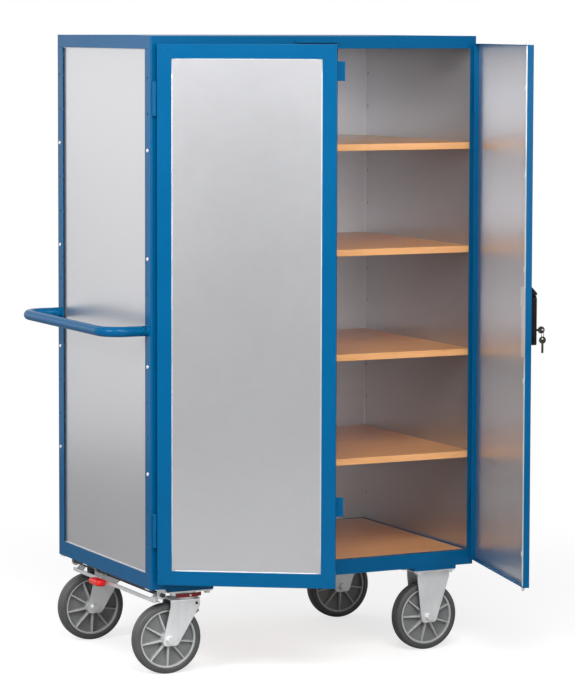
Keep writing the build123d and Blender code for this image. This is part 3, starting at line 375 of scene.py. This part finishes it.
def finish_of(name, tone, rough=None, metal=0.0, specular=0.5, skin=None, edge_radius=0.0012,
              wear_and_highlight=None, raised_highlight=None):
    """A material from a tone (group and values), a skin of relief, and edges of a small radius.

    Without a rough value the tone's own value is the roughness."""
    material = bpy.data.materials.new(name)
    material.use_nodes = True
    tree = material.node_tree
    link = tree.links.new
    shader = tree.nodes["Principled BSDF"]
    shader.inputs["Metallic"].default_value = metal
    shader.inputs["Specular IOR Level"].default_value = specular
    group, values = tone
    paint = placed_group(tree, group, **values)
    colour = paint.outputs["Colour"]
    if rough is None:
        link(paint.outputs["Value"], shader.inputs["Roughness"])
    else:
        shader.inputs["Roughness"].default_value = rough
    # Painted highlight: the colour turns towards a paler tint where the mesh's attribute says a place is raised.
    if raised_highlight:
        share = tree.nodes.new("ShaderNodeAttribute")
        share.attribute_name = "raised_highlight"
        colour = tinted(tree, share.outputs["Fac"], colour, raised_highlight)
    rim = placed_group(tree, edges, Radius=edge_radius)
    # Edges get a paler tint by the edge mask: partly wear, partly a painted highlight.
    if wear_and_highlight:
        colour = tinted(tree, rim.outputs["Mask"], colour, wear_and_highlight)
    link(colour, shader.inputs["Base Color"])
    bump = tree.nodes.new("ShaderNodeBump")
    bump.inputs["Distance"].default_value = 1.0
    if skin:
        link(placed_group(tree, relief, **skin).outputs["Height"], bump.inputs["Height"])
    elif "Height" in paint.outputs:
        link(paint.outputs["Height"], bump.inputs["Height"])
    link(rim.outputs["Normal"], bump.inputs["Normal"])
    link(bump.outputs["Normal"], shader.inputs["Normal"])
    return material


def mottled(first, second, smoothest, roughest, scale, stretch=(1, 1, 1)):
    """Tone of a mottled finish: two colours, and the least and the greatest roughness."""
    return mottle, {"Colour_A": (*first, 1), "Colour_B": (*second, 1), "Low": smoothest,
                    "High": roughest, "Scale": scale, "Stretch": stretch}


# %% [markdown]
# The steel frame and both door frames carry a satin powder coat in a deep blue. A low specular level
# keeps the blue saturated, as on the real paint, and the rounded edges give the thin pale lines,
# helped by a paler blue painted on them as a highlight, broken up like wear.
# The levers beside the swivel heads have a much darker red coat than the pedal, which paints the shade they sit
# in, and the pedal is moulded in bright red.

# %% Paint finishes
finishes = {}
# The paler blue on edges is a painted highlight, broken up like wear.
finishes["blue_paint"] = finish_of(
    "blue_paint",
    mottled((0.0, 0.089, 0.226), (0.0, 0.096, 0.243), smoothest=0.2, roughest=0.26, scale=5),
    specular=0.12, skin={"Scale": 420, "Depth": 0.00002}, edge_radius=0.0016, wear_and_highlight=(0.01, 0.2, 0.42))
# Darker red than the pedal: painted shade on the levers; the paler red on their edges is partly wear and partly a
# painted highlight.
finishes["red_paint"] = finish_of(
    "red_paint",
    mottled((0.2, 0.008, 0.008), (0.25, 0.013, 0.012), smoothest=0.35, roughest=0.45, scale=40),
    specular=0.4, skin={"Scale": 500, "Depth": 0.00003}, edge_radius=0.0008, wear_and_highlight=(0.35, 0.05, 0.045))
finishes["red_pedal"] = finish_of(
    "red_pedal",
    mottled((0.68, 0.008, 0.008), (0.75, 0.014, 0.012), smoothest=0.3, roughest=0.4, scale=40),
    skin={"Scale": 800, "Depth": 0.00004})
print("paints:", sorted(finishes))

# %% [markdown]
# The sheets are zinc coated and stay bare. They are nearly all metal in the shader, with enough
# roughness to blur what they mirror: the handle on the left wall, the boards on the right door.
# The zinc plate of forks, bolts and rods is paler, and drawn a little along its height.

# %% Metal finishes
# On each metal below, the paler colour on edges is partly wear and partly a painted highlight.
finishes["galvanised_sheet"] = finish_of(
    "galvanised_sheet",
    (crystals, {"Colour_A": (0.6, 0.602, 0.624, 1), "Colour_B": (0.62, 0.622, 0.644, 1),
                "Low": 0.29, "High": 0.315, "Scale": 55.0}),
    metal=0.85, specular=0.2, skin={"Scale": 300, "Depth": 0.000006, "Stretch": (1, 1, 0.1)},
    edge_radius=0.0008, wear_and_highlight=(0.85, 0.86, 0.87))
finishes["zinc_plate"] = finish_of(
    "zinc_plate",
    mottled((0.72, 0.735, 0.745), (0.82, 0.83, 0.84), smoothest=0.3, roughest=0.4, scale=30,
            stretch=(1, 1, 0.4)),
    metal=0.65, specular=0.3, skin={"Scale": 420, "Depth": 0.00002, "Stretch": (1, 1, 0.15)},
    wear_and_highlight=(0.86, 0.87, 0.87))
finishes["nickel"] = finish_of(
    "nickel",
    mottled((0.03, 0.031, 0.025), (0.06, 0.06, 0.05), smoothest=0.29, roughest=0.35, scale=90),
    metal=1.0, skin={"Scale": 900, "Depth": 0.00001}, edge_radius=0.0004, wear_and_highlight=(0.5, 0.5, 0.45))
finishes["dark_steel"] = finish_of(
    "dark_steel",
    mottled((0.03, 0.03, 0.033), (0.07, 0.07, 0.076), smoothest=0.35, roughest=0.5, scale=40),
    metal=0.8, skin={"Scale": 600, "Depth": 0.00003}, edge_radius=0.0008, wear_and_highlight=(0.2, 0.2, 0.2))
finishes["bearing_steel"] = finish_of(
    "bearing_steel",
    mottled((0.4, 0.41, 0.43), (0.5, 0.51, 0.53), smoothest=0.29, roughest=0.35, scale=60),
    metal=1.0, skin={"Scale": 900, "Depth": 0.00001}, edge_radius=0.0006, wear_and_highlight=(0.8, 0.8, 0.8))
print("finishes so far:", len(finishes))

# %% [markdown]
# The rest: coated beech boards, the black lock, the moulded grey wheel centres and the dark rubber.
# Then every solid takes the finish that its record names.

# %% Wood, plastic and rubber finishes
finishes["beech_board"] = finish_of(
    "beech_board",
    (grain, {"Pale": (0.87, 0.45, 0.19, 1), "Dark": (0.78, 0.375, 0.14, 1),
             "Dash": (0.52, 0.24, 0.085, 1)}),
    rough=0.3, specular=0.7)
# The black plastic's paler edges are partly wear and partly a painted highlight.
finishes["black_plastic"] = finish_of(
    "black_plastic",
    mottled((0.004, 0.004, 0.0045), (0.007, 0.007, 0.0075), smoothest=0.3, roughest=0.4, scale=60),
    specular=0.12, skin={"Scale": 900, "Depth": 0.00004}, wear_and_highlight=(0.03, 0.03, 0.03))
# Ribs and ring turn a paler grey where raised: a painted highlight.
finishes["wheel_centre"] = finish_of(
    "wheel_centre",
    mottled((0.17, 0.174, 0.176), (0.2, 0.204, 0.206), smoothest=0.4, roughest=0.5, scale=25),
    skin={"Scale": 700, "Depth": 0.00004}, edge_radius=0.0016, raised_highlight=(0.46, 0.465, 0.46))
finishes["grey_tyre"] = finish_of(
    "grey_tyre",
    mottled((0.06, 0.061, 0.063), (0.075, 0.076, 0.079), smoothest=0.45, roughest=0.6, scale=20),
    skin={"Scale": 900, "Depth": 0.00006}, edge_radius=0.001)
for entry in frame["record"]["subparts"]:
    piece = nodes[entry["node"]]
    piece.data.materials.clear()
    piece.data.materials.append(finishes[entry["material_slot"]])
print("finished solids:", len(nodes), "with", len(finishes), "finishes")

# %% [markdown]
# New pieces are surfaces worked out with numpy: a grid of points from two parameters, joined by
# quads. Rings that close on themselves wrap round, and the ends of a tube get a small fan. A grid can
# come out with its faces turned inwards, so each mesh has its normals recalculated at the end.

# %% A helper for surfaces


def grid_quads(rows, columns, wrap_rows=False, wrap_columns=False):
    """Quads that join each point of a rows by columns grid to the next row and column."""
    row = np.arange(rows if wrap_rows else rows - 1)[:, None]
    column = np.arange(columns if wrap_columns else columns - 1)[None, :]
    next_row, next_column = (row + 1) % rows, (column + 1) % columns
    corners = [row * columns + column, row * columns + next_column,
               next_row * columns + next_column, next_row * columns + column]
    return np.stack(np.broadcast_arrays(*corners), -1).reshape(-1, 4)


def tube_of(rings):
    """Points and faces of a closed tube: rings joined by quads, each end closed by a fan."""
    count, size = rings.shape[:2]
    middles = np.stack([rings[0].mean(0), rings[-1].mean(0)])
    points = np.concatenate([rings.reshape(-1, 3), middles])
    here = np.arange(size)
    ahead = (here + 1) % size
    last, first_middle = (count - 1) * size, count * size
    start = np.column_stack([np.full(size, first_middle), ahead, here])
    end = np.column_stack([np.full(size, first_middle + 1), last + here, last + ahead])
    quads = grid_quads(count, size, wrap_columns=True)
    return points, [*quads.tolist(), *start.tolist(), *end.tolist()]


def new_piece(name, shells, slot, body, stands_for=(), raised_highlight=None):
    """One smooth mesh object from shells of (points, faces), finished, riding on a body."""
    points, faces, count = [], [], 0
    for shell_points, shell_faces in shells:
        points.append(shell_points)
        faces += [[corner + count for corner in face] for face in shell_faces]
        count += len(shell_points)
    mesh = bpy.data.meshes.new(name)
    mesh.from_pydata(np.concatenate(points).tolist(), [], faces)
    shape = bmesh.new()
    shape.from_mesh(mesh)
    bmesh.ops.recalc_face_normals(shape, faces=shape.faces)
    shape.to_mesh(mesh)
    shape.free()
    mesh.shade_smooth()
    # The raised share, which sets how much painted highlight each point gets.
    if raised_highlight is not None:
        mesh.attributes.new("raised_highlight", "FLOAT", "POINT").data.foreach_set("value", raised_highlight.ravel())
    mesh.materials.append(finishes[slot])
    piece = bpy.data.objects.new(name, mesh)
    bpy.context.scene.collection.objects.link(piece)
    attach(piece, body)
    if stands_for:
        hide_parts(*stands_for)
    print(name, "has", len(faces), "faces")
    return piece


# %% [markdown]
# The push handle is one steel tube bent twice. The solid is faceted, so a smooth tube takes its
# place: a circle carried along the route, whose corners are quarter arcs. A weld bead runs round
# each end, where the tube meets the post.

# %% Push handle
# Radius of the tube, radius of its two bends, and size of the bead at each end.
handle_radius, handle_turn, handle_weld = 0.0145, 0.06, 0.0018
handle_low, handle_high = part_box("push_handle")
handle_z = (handle_low.z + handle_high.z) / 2
handle_y = handle_high.y - handle_radius
handle_x, post_x = handle_low.x + handle_radius, handle_high.x


def handle_route(arc_steps=24):
    """Straight run, quarter arc, straight bar, quarter arc, straight run, in the level plane."""
    quarter = np.linspace(0, np.pi / 2, arc_steps)
    arc = np.column_stack([-np.sin(quarter), 1 - np.cos(quarter)]) * handle_turn
    front = np.array([handle_x + handle_turn, -handle_y]) + arc
    back = front[::-1] * (1, -1)
    line = np.concatenate([[(post_x, -handle_y)], front, back, [(post_x, handle_y)]])
    return np.column_stack([line, np.full(len(line), handle_z)])


def carried_circle(line, radius, around=40):
    """At each point of a level line: a circle across its direction, side and height in turn."""
    ahead = np.gradient(line, axis=0)
    ahead[0], ahead[-1] = line[1] - line[0], line[-1] - line[-2]
    ahead /= np.linalg.norm(ahead, axis=1)[:, None]
    side = np.column_stack([ahead[:, 1], -ahead[:, 0], np.zeros(len(line))])
    turn = np.linspace(0, 2 * np.pi, around, endpoint=False)
    radius = np.broadcast_to(radius, (len(line),))[:, None, None]
    return line[:, None] + radius * (np.cos(turn)[None, :, None] * side[:, None]
                                     + np.sin(turn)[None, :, None] * np.array([0, 0, 1.0]))


def weld_ring(centre, radius, size, around=72, small_around=12, ripple=0.12, ripples=18):
    """A bead round a tube that stands on a wall across X: a small circle turned round, rippled."""
    turn = np.linspace(0, 2 * np.pi, around, endpoint=False)[:, None]
    small = np.linspace(0, 2 * np.pi, small_around, endpoint=False)[None, :]
    swell = size * (1 + ripple * np.sin(ripples * turn))
    out = radius + swell * np.cos(small)
    points = np.stack([centre[0] - swell * np.sin(small), centre[1] + out * np.cos(turn),
                       centre[2] + out * np.sin(turn)], -1)
    return points.reshape(-1, 3), grid_quads(around, small_around, True, True).tolist()


handle_tube = tube_of(carried_circle(handle_route(), handle_radius))
handle_ends = [(post_x, side * handle_y, handle_z) for side in (-1, 1)]
handle_welds = [weld_ring(end, handle_radius, handle_weld) for end in handle_ends]
new_piece("push_handle_tube", [handle_tube], "blue_paint", "cabinet", ["push_handle"])
new_piece("push_handle_welds", handle_welds, "blue_paint", "cabinet")

# %% [markdown]
# Each wheel is a dark rubber tyre on a moulded centre with nine ribs. Both are turned about the
# axle, so a wheel needs its middle and the direction of its axle, and the joints give both. It
# stands on the floor, so the height of its middle is its radius.

# %% Where the wheels are
wheel_names = ("left_front", "left_rear", "right_front", "right_rear")


def wheel_axes(name):
    """Middle of a wheel, and the directions ahead, along the axle and up."""
    joint = next(j for j in frame["joints"] if j["name"] == f"wheel_{name}_roll")
    along = np.array(joint["axis"], float)
    ahead = np.cross(along, (0, 0, 1.0))
    return np.array(joint["pos_m"], float), ahead, along, np.array([0, 0, 1.0])


def turned_surface(name, radius, across, turn):
    """Points from radius, place along the axle and turn angle, all arrays of one shape."""
    middle, ahead, along, up = wheel_axes(name)
    return (middle + (radius * np.cos(turn))[..., None] * ahead
            + across[..., None] * along + (radius * np.sin(turn))[..., None] * up)


wheel_radius = wheel_axes("left_front")[0][2]
for name in wheel_names:
    print(name, [round(float(v), 4) for v in wheel_axes(name)[0]])

# %% [markdown]
# The tyre's section is a closed line: a flat seat inside, two side walls with a shallow step, and
# rounded shoulders to a slightly crowned tread. It is turned in 144 steps.

# %% Tyres
tyre_seat, tyre_half, tyre_shoulder = 0.0831, 0.02, 0.0085
wall_step, crown_fall = 0.0007, 0.0006
# Up one side wall: rise above the seat, and how far inside the tyre's full width.
wall_points = np.array([(0, 0.0035), (0, 0.0012), (0.0008, 0.0004), (0.0030, 0), (0.0058, 0),
                        (0.0066, wall_step), (0.0074, wall_step)])
# Over the tread: fall below the full radius, and place across.
crown_points = np.array([(0.0002, 0.006), (0, 0.003), (0, 0)])


def tyre_section(arc_steps=10):
    """Closed line of (radius, across): seat, wall, quarter round shoulder and crown; then mirrored."""
    quarter = np.linspace(0, np.pi / 2, arc_steps)
    wall = (tyre_seat, tyre_half) + wall_points * (1, -1)
    arc = np.column_stack([wheel_radius - crown_fall - tyre_shoulder * (1 - np.sin(quarter)),
                           tyre_half - wall_step - tyre_shoulder * (1 - np.cos(quarter))])
    crown = (wheel_radius, 0) + crown_points * (-1, 1)
    one = np.concatenate([wall, arc, crown])
    return np.concatenate([one, one[-2::-1] * (1, -1)])


def tyre_shell(name, steps=144):
    """The section turned about the axle."""
    section = tyre_section()
    turn = np.linspace(0, 2 * np.pi, steps, endpoint=False)[:, None]
    radius, across, turn = np.broadcast_arrays(section[:, 0], section[:, 1], turn)
    points = turned_surface(name, radius, across, turn)
    return points.reshape(-1, 3), grid_quads(steps, len(section), True, True).tolist()


for name in wheel_names:
    new_piece(f"rubber_{name}", [tyre_shell(name)], "grey_tyre", f"wheel_{name}", [f"tyre_{name}"])

# %% [markdown]
# The wheel centre is a height over a disc: at each radius and angle, how far the face stands from
# the middle plane. A web, a hub, the ring that seats the tyre and nine tapering ribs are four such
# heights, and the highest of them wins. The same face, mirrored, is the back. Ribs and ring are
# painted paler than the web, a painted highlight where their raised faces catch the light, so an
# attribute tells the finish how far each point is raised.

# %% Wheel centres
rib_count = 9
first_rib = {"left_front": -90, "left_rear": -90, "right_front": 180, "right_rear": -90}
# Heights over the wheel's middle plane, and the radii between which one height turns into the next.
web_height = 0.003
hub_height, hub_drop, hub_edge = 0.027, 0.022, (0.0200, 0.0235)
ring_rise, ring_edge = 0.0142, (0.0760, 0.0775)
lip_drop, lip_edge = 0.0012, (0.0818, 0.083)
# A rib gets lower by a drop and narrower by a taper on its run from the hub to the ring.
rib_height, rib_drop, rib_half, rib_taper, rib_run = 0.021, 0.005, 0.0034, 0.0010, (0.020, 0.078)
rib_inside, rib_outside = 0.0010, 0.0012
# The face is worked out at these radii, close together at the edges of hub and ring.
centre_radii = np.concatenate([[0.0162, 0.017], np.linspace(0.0195, 0.024, 7),
                               np.linspace(0.028, 0.072, 9), np.linspace(0.0745, 0.079, 7),
                               [0.0805, 0.0815, 0.0822, 0.083]])
raised_from, raised_full = 0.008, 0.015


def smooth_step(value, low, high):
    """0 below low, 1 above high, and a smooth S between."""
    part = np.clip((value - low) / (high - low), 0, 1)
    return part * part * (3 - 2 * part)


def face_height(radius, turn, start):
    """Highest of web, hub, ring and ribs; a rib fades with its distance from its centre line."""
    hub = hub_height - hub_drop * smooth_step(radius, *hub_edge)
    ring = web_height + ring_rise * smooth_step(radius, *ring_edge)
    ring = ring - lip_drop * smooth_step(radius, *lip_edge)
    part = 2 * np.pi / rib_count
    off = (turn - start + part / 2) % part - part / 2
    beside = np.abs(radius * np.sin(off))
    along = smooth_step(radius, *rib_run)
    top, half = rib_height - rib_drop * along, rib_half - rib_taper * along
    fade = 1 - smooth_step(beside, half - rib_inside, half + rib_outside)
    rib = web_height + (top - web_height) * fade
    return np.maximum(np.maximum(web_height, hub), np.maximum(ring, rib))


def centre_shell(name, steps=360):
    """Front face outwards from the bore, back face inwards, joined into one closed ring of columns.

    Also how far each point is raised, from 0 on the web to 1 on ribs and ring, which sets how much painted
    highlight it gets."""
    turn = np.linspace(0, 2 * np.pi, steps, endpoint=False)[:, None]
    face = face_height(centre_radii, turn, math.radians(first_rib[name]))
    across = np.concatenate([-face, face[:, ::-1]], axis=1)
    there_and_back = np.concatenate([centre_radii, centre_radii[::-1]])
    radius, turn = np.broadcast_arrays(there_and_back, turn)
    points = turned_surface(name, radius, across, turn)
    shell = points.reshape(-1, 3), grid_quads(steps, len(there_and_back), True, True).tolist()
    return shell, smooth_step(np.abs(across), raised_from, raised_full)


for name in wheel_names:
    shell, raised_highlight = centre_shell(name)
    new_piece(f"wheel_centre_{name}", [shell], "wheel_centre", f"wheel_{name}", [f"rim_{name}"],
              raised_highlight)

# %% [markdown]
# Welds that are ground leave faint raised lines, and rolled edges leave thin pale ones. Each is made
# as a bead: a tube along a straight line, flattened against the face it lies on, whose section
# shrinks steeply at both ends. One function serves all of them.

# %% A helper for beads
taper_power, least_section = 8, 0.02


def bead(start, end, side, out, width=0.0012, height=0.00035, steps=16, around=10):
    """A flattened tube from start to end: width along side, height along out, thinner at its ends."""
    along = np.linspace(0, 1, steps)
    swell = np.sqrt(np.clip(1 - (2 * along - 1) ** taper_power, least_section, 1))[:, None, None]
    turn = np.linspace(0, 2 * np.pi, around, endpoint=False)[None, :, None]
    line = (start + (end - start) * along[:, None])[:, None]
    return tube_of(line + swell * (np.cos(turn) * width / 2 * side + np.sin(turn) * height * out))


# %% [markdown]
# The doors stand open in the photo, so their pieces are worked out in each door's own directions:
# away from its hinge, outwards and up. The angles are those of the hinges at rest, and the joints
# carry the pieces along when the doors turn.

# %% The doors at rest
# How far each door stands open in degrees, and the direction along X away from its hinge.
door_turns = {"left_door": (-32.5, 1), "right_door": (77.5, -1)}
# Edges and outer face of a door from its hinge's axis, and width of its frame's face.
door_near, door_far, door_face, door_flange = 0.008, 0.5045, 0.011, 0.04
door_low, door_high = (corner.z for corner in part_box("left_door_frame"))


def door_axes(name):
    """Turning point of a door, and its directions: away from the hinge, outwards and up, at rest."""
    joint = next(j for j in frame["joints"] if j["name"] == f"{name}_hinge")
    degrees, away = door_turns[name]
    angle = math.radians(degrees)
    middle = np.array(joint["pos_m"], float) * (1, 1, 0)
    wide = away * np.array([math.cos(angle), math.sin(angle), 0])
    outward = np.array([math.sin(angle), -math.cos(angle), 0])
    return middle, wide, outward, np.array([0, 0, 1.0])


def door_corners(name, inset, out):
    """The four corners of a door's outline, drawn in by inset, at a distance out from the hinge."""
    middle, wide, outward, up = door_axes(name)
    near, far, low, high = door_near + inset, door_far - inset, door_low + inset, door_high - inset
    return [middle + wide * x + up * z + outward * out
            for x, z in ((near, low), (far, low), (far, high), (near, high))]


print("doors reach from", round(door_low, 4), "to", round(door_high, 4), "m")

# %% [markdown]
# Each door frame is mitred and welded, then ground. A faint bead runs at 45 degrees over each of its
# corners, from the outer corner to the corner of the opening.

# %% Mitre beads on the doors
bead_start, bead_gap = 0.002, 0.001


def mitre_beads(name):
    """Four beads, each from an outer corner of the door to the corner of its opening."""
    _, wide, outward, up = door_axes(name)
    starts = door_corners(name, bead_start, door_face)
    ends = door_corners(name, door_flange - bead_gap, door_face)
    sides = [wide - up, wide + up, up - wide, -wide - up]
    return [bead(start, end, side / math.sqrt(2), outward)
            for start, end, side in zip(starts, ends, sides)]


for name in ("left_door", "right_door"):
    new_piece(f"mitre_beads_{name}", mitre_beads(name), "blue_paint", name)

# %% [markdown]
# Each door sheet is a shallow pressed panel. Its rim is rolled up against the frame and catches the
# light as a thin white line round the opening, so a flattened bead follows that line. Its shape
# catches the light, and its zinc plate finish, paler than the sheet, is a painted highlight.

# %% Rims of the door sheets
rim_gap, rim_depth, rim_width, rim_height, rim_steps = 0.001, 0.002, 0.0036, 0.0014, 24


def sheet_rims(name):
    """Four long flat beads just inside the frame's opening, standing on the outer face of the sheet."""
    _, wide, outward, up = door_axes(name)
    corners = door_corners(name, door_flange + rim_gap, door_face - rim_depth)
    sides = [up, -wide, -up, wide]
    return [bead(start, end, side, outward, rim_width, rim_height, rim_steps)
            for start, end, side in zip(corners, corners[1:] + corners[:1], sides)]


for name in ("left_door", "right_door"):
    # The rim takes the paler zinc plate finish: a painted highlight.
    new_piece(f"sheet_rim_{name}", sheet_rims(name), "zinc_plate", name)

# %% [markdown]
# Inside, the back sheet and the side sheets meet in the rear corners. The side sheet's folded edge
# stands a little proud there and shows as one pale upright line. The bead's paler zinc plate finish
# is a painted highlight on that fold.

# %% Folded edges in the rear corners
deck_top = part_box("base_deck")[1].z
roof_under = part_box("roof_panel")[0].z
back_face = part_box("back_panel")[0].y
wall_face = {-1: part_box("side_panel_left")[1].x, 1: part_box("side_panel_right")[0].x}
corner_gap, corner_width, corner_height, corner_steps = 0.004, 0.004, 0.002, 24


def corner_edge(side):
    """A narrow upright bead in a rear corner, from the deck to just under the roof."""
    start = np.array([wall_face[side], back_face, deck_top])
    end = np.array([wall_face[side], back_face, roof_under - corner_gap])
    across = np.array([side, -1, 0]) / math.sqrt(2)
    out = np.array([-side, -1, 0]) / math.sqrt(2)
    return bead(start, end, across, out, corner_width, corner_height, corner_steps)


# Paler zinc plate on the fold: a painted highlight.
new_piece("corner_edges", [corner_edge(-1), corner_edge(1)], "zinc_plate", "cabinet")
print("corner lines stand at x", round(wall_face[-1], 4), "and", round(wall_face[1], 4))

# %% [markdown]
# The posts are welded between the base frame and the top frame. A bead across each post's side, and
# across the front of the front posts, marks the two joints. At the back the welds are ground flush.

# %% Post welds
post_low, post_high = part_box("corner_posts")
# Start and end of a bead from the post's outer edge, over its side flange and over its front flange.
weld_start, side_weld_end, front_weld_end = 0.003, 0.0395, 0.0195


def post_beads():
    """At both ends of each post: a bead over its side flange, and on front posts one over the front."""
    shells = []
    up = np.array([0, 0, 1.0])
    for x, right in ((post_low.x, -1), (post_high.x, 1)):
        for y, back in ((post_low.y, -1), (post_high.y, 1)):
            for z in (post_low.z, post_high.z):
                corner = np.array([x, y, z])
                inwards, along = np.array([-right, 0, 0.0]), np.array([0, -back, 0.0])
                shells.append(bead(corner + along * weld_start, corner + along * side_weld_end,
                                   up, -inwards))
                if back < 0:
                    shells.append(bead(corner + inwards * weld_start, corner + inwards * front_weld_end,
                                       up, -along))
    return shells


new_piece("post_weld_beads", post_beads(), "blue_paint", "cabinet")

# %% [markdown]
# Light Path tells a shader what kind of ray asks. By it the camera sees a brighter floor than the
# cart does, so the picture has a white ground without pouring more light on the cart. Close to the
# cart the floor is a lit surface with a soft shadow, and it fades to plain white further out.

# %% Floor
floor_half, floor_grey, floor_lift = 40.0, 0.5, 0.68
white_from, white_full = 1.1, 2.6


def pale_floor():
    """A square of floor: lit near the cart, and plain white beyond a few metres for the camera."""
    corners = [(x * floor_half, y * floor_half, 0) for x, y in ((-1, -1), (1, -1), (1, 1), (-1, 1))]
    mesh = bpy.data.meshes.new("floor")
    mesh.from_pydata(corners, [], [(0, 1, 2, 3)])
    floor = bpy.data.objects.new("floor", mesh)
    bpy.context.scene.collection.objects.link(floor)
    material = bpy.data.materials.new("floor_white")
    material.use_nodes = True
    tree = material.node_tree
    new, link = tree.nodes.new, tree.links.new
    shader = tree.nodes["Principled BSDF"]
    shader.inputs["Base Color"].default_value = (floor_grey, floor_grey, floor_grey, 1)
    shader.inputs["Roughness"].default_value = 0.9
    shader.inputs["Specular IOR Level"].default_value = 0.1
    path = new("ShaderNodeLightPath")
    lift = new("ShaderNodeMath")
    lift.operation = "MULTIPLY"
    lift.inputs[1].default_value = floor_lift
    link(path.outputs["Is Camera Ray"], lift.inputs[0])
    shader.inputs["Emission Color"].default_value = (1, 1, 1, 1)
    link(lift.outputs["Value"], shader.inputs["Emission Strength"])
    white = new("ShaderNodeEmission")
    place = new("ShaderNodeTexCoord")
    far = new("ShaderNodeVectorMath")
    far.operation = "LENGTH"
    spread = new("ShaderNodeMapRange")
    spread.interpolation_type = "SMOOTHSTEP"
    spread.inputs["From Min"].default_value = white_from
    spread.inputs["From Max"].default_value = white_full
    seen = new("ShaderNodeMath")
    seen.operation = "MULTIPLY"
    mix = new("ShaderNodeMixShader")
    link(place.outputs["Object"], far.inputs[0])
    link(far.outputs["Value"], spread.inputs["Value"])
    link(spread.outputs["Result"], seen.inputs[0])
    link(path.outputs["Is Camera Ray"], seen.inputs[1])
    link(seen.outputs["Value"], mix.inputs["Fac"])
    link(shader.outputs["BSDF"], mix.inputs[1])
    link(white.outputs["Emission"], mix.inputs[2])
    link(mix.outputs["Shader"], tree.nodes["Material Output"].inputs["Surface"])
    mesh.materials.append(material)
    return floor


floor = pale_floor()
print("floor is", floor.dimensions.x, "m wide")

# %% [markdown]
# The sky is white for the camera, a little dimmer in reflections and much dimmer as a lamp, so most
# of the modelling comes from soft boxes: the key high in front on the left, a fill from the camera's
# side, one beside the left wall, and a weak one behind that the left wall mirrors.

# %% Sky and soft boxes


def white_sky(mirror_strength, lamp_strength):
    """A world whose strength is 1 for the camera, and weaker in mirrors and as a lamp."""
    world = bpy.data.worlds.new("sky")
    bpy.context.scene.world = world
    world.use_nodes = True
    tree = world.node_tree
    back = tree.nodes["Background"]
    back.inputs["Color"].default_value = (1, 1, 1, 1)
    path = tree.nodes.new("ShaderNodeLightPath")
    strength = lamp_strength
    rays = {"Is Glossy Ray": mirror_strength, "Is Transmission Ray": 1.0, "Is Camera Ray": 1.0}
    for label, wanted in rays.items():
        level = tree.nodes.new("ShaderNodeMapRange")
        level.inputs["To Max"].default_value = wanted
        tree.links.new(path.outputs[label], level.inputs["Value"])
        if isinstance(strength, float):
            level.inputs["To Min"].default_value = strength
        else:
            tree.links.new(strength, level.inputs["To Min"])
        strength = level.outputs["Result"]
    tree.links.new(strength, back.inputs["Strength"])


def softbox(name, place, target, size, watts):
    """A square area lamp at place that faces target."""
    lamp = bpy.data.lights.new(name, "AREA")
    lamp.shape = "SQUARE"
    lamp.size = size
    lamp.energy = watts
    holder = bpy.data.objects.new(name, lamp)
    bpy.context.scene.collection.objects.link(holder)
    away = np.array(place, float) - np.array(target, float)
    away /= np.linalg.norm(away)
    side = np.cross((0, 0, 1), away)
    side /= np.linalg.norm(side)
    turn = np.eye(4)
    turn[:3, :3] = np.column_stack([side, np.cross(away, side), away])
    turn[:3, 3] = place
    holder.matrix_world = Matrix(turn.tolist())
    return holder


white_sky(mirror_strength=0.8, lamp_strength=0.38)
softbox("key", place=(-1.3, -3.3, 3.2), target=(0.1, 0, 1.2), size=1.6, watts=90)
softbox("fill", place=(-0.2, -4.6, 1.9), target=(0, 0, 1.1), size=2.0, watts=50)
softbox("side", place=(-3.0, -1.4, 2.3), target=(-0.5, 0, 1.3), size=1.0, watts=62)
softbox("mirror", place=(-2.1, 2.9, 1.0), target=(-0.5, 0, 1.0), size=1.7, watts=7)
bpy.context.scene.view_settings.view_transform = "Standard"
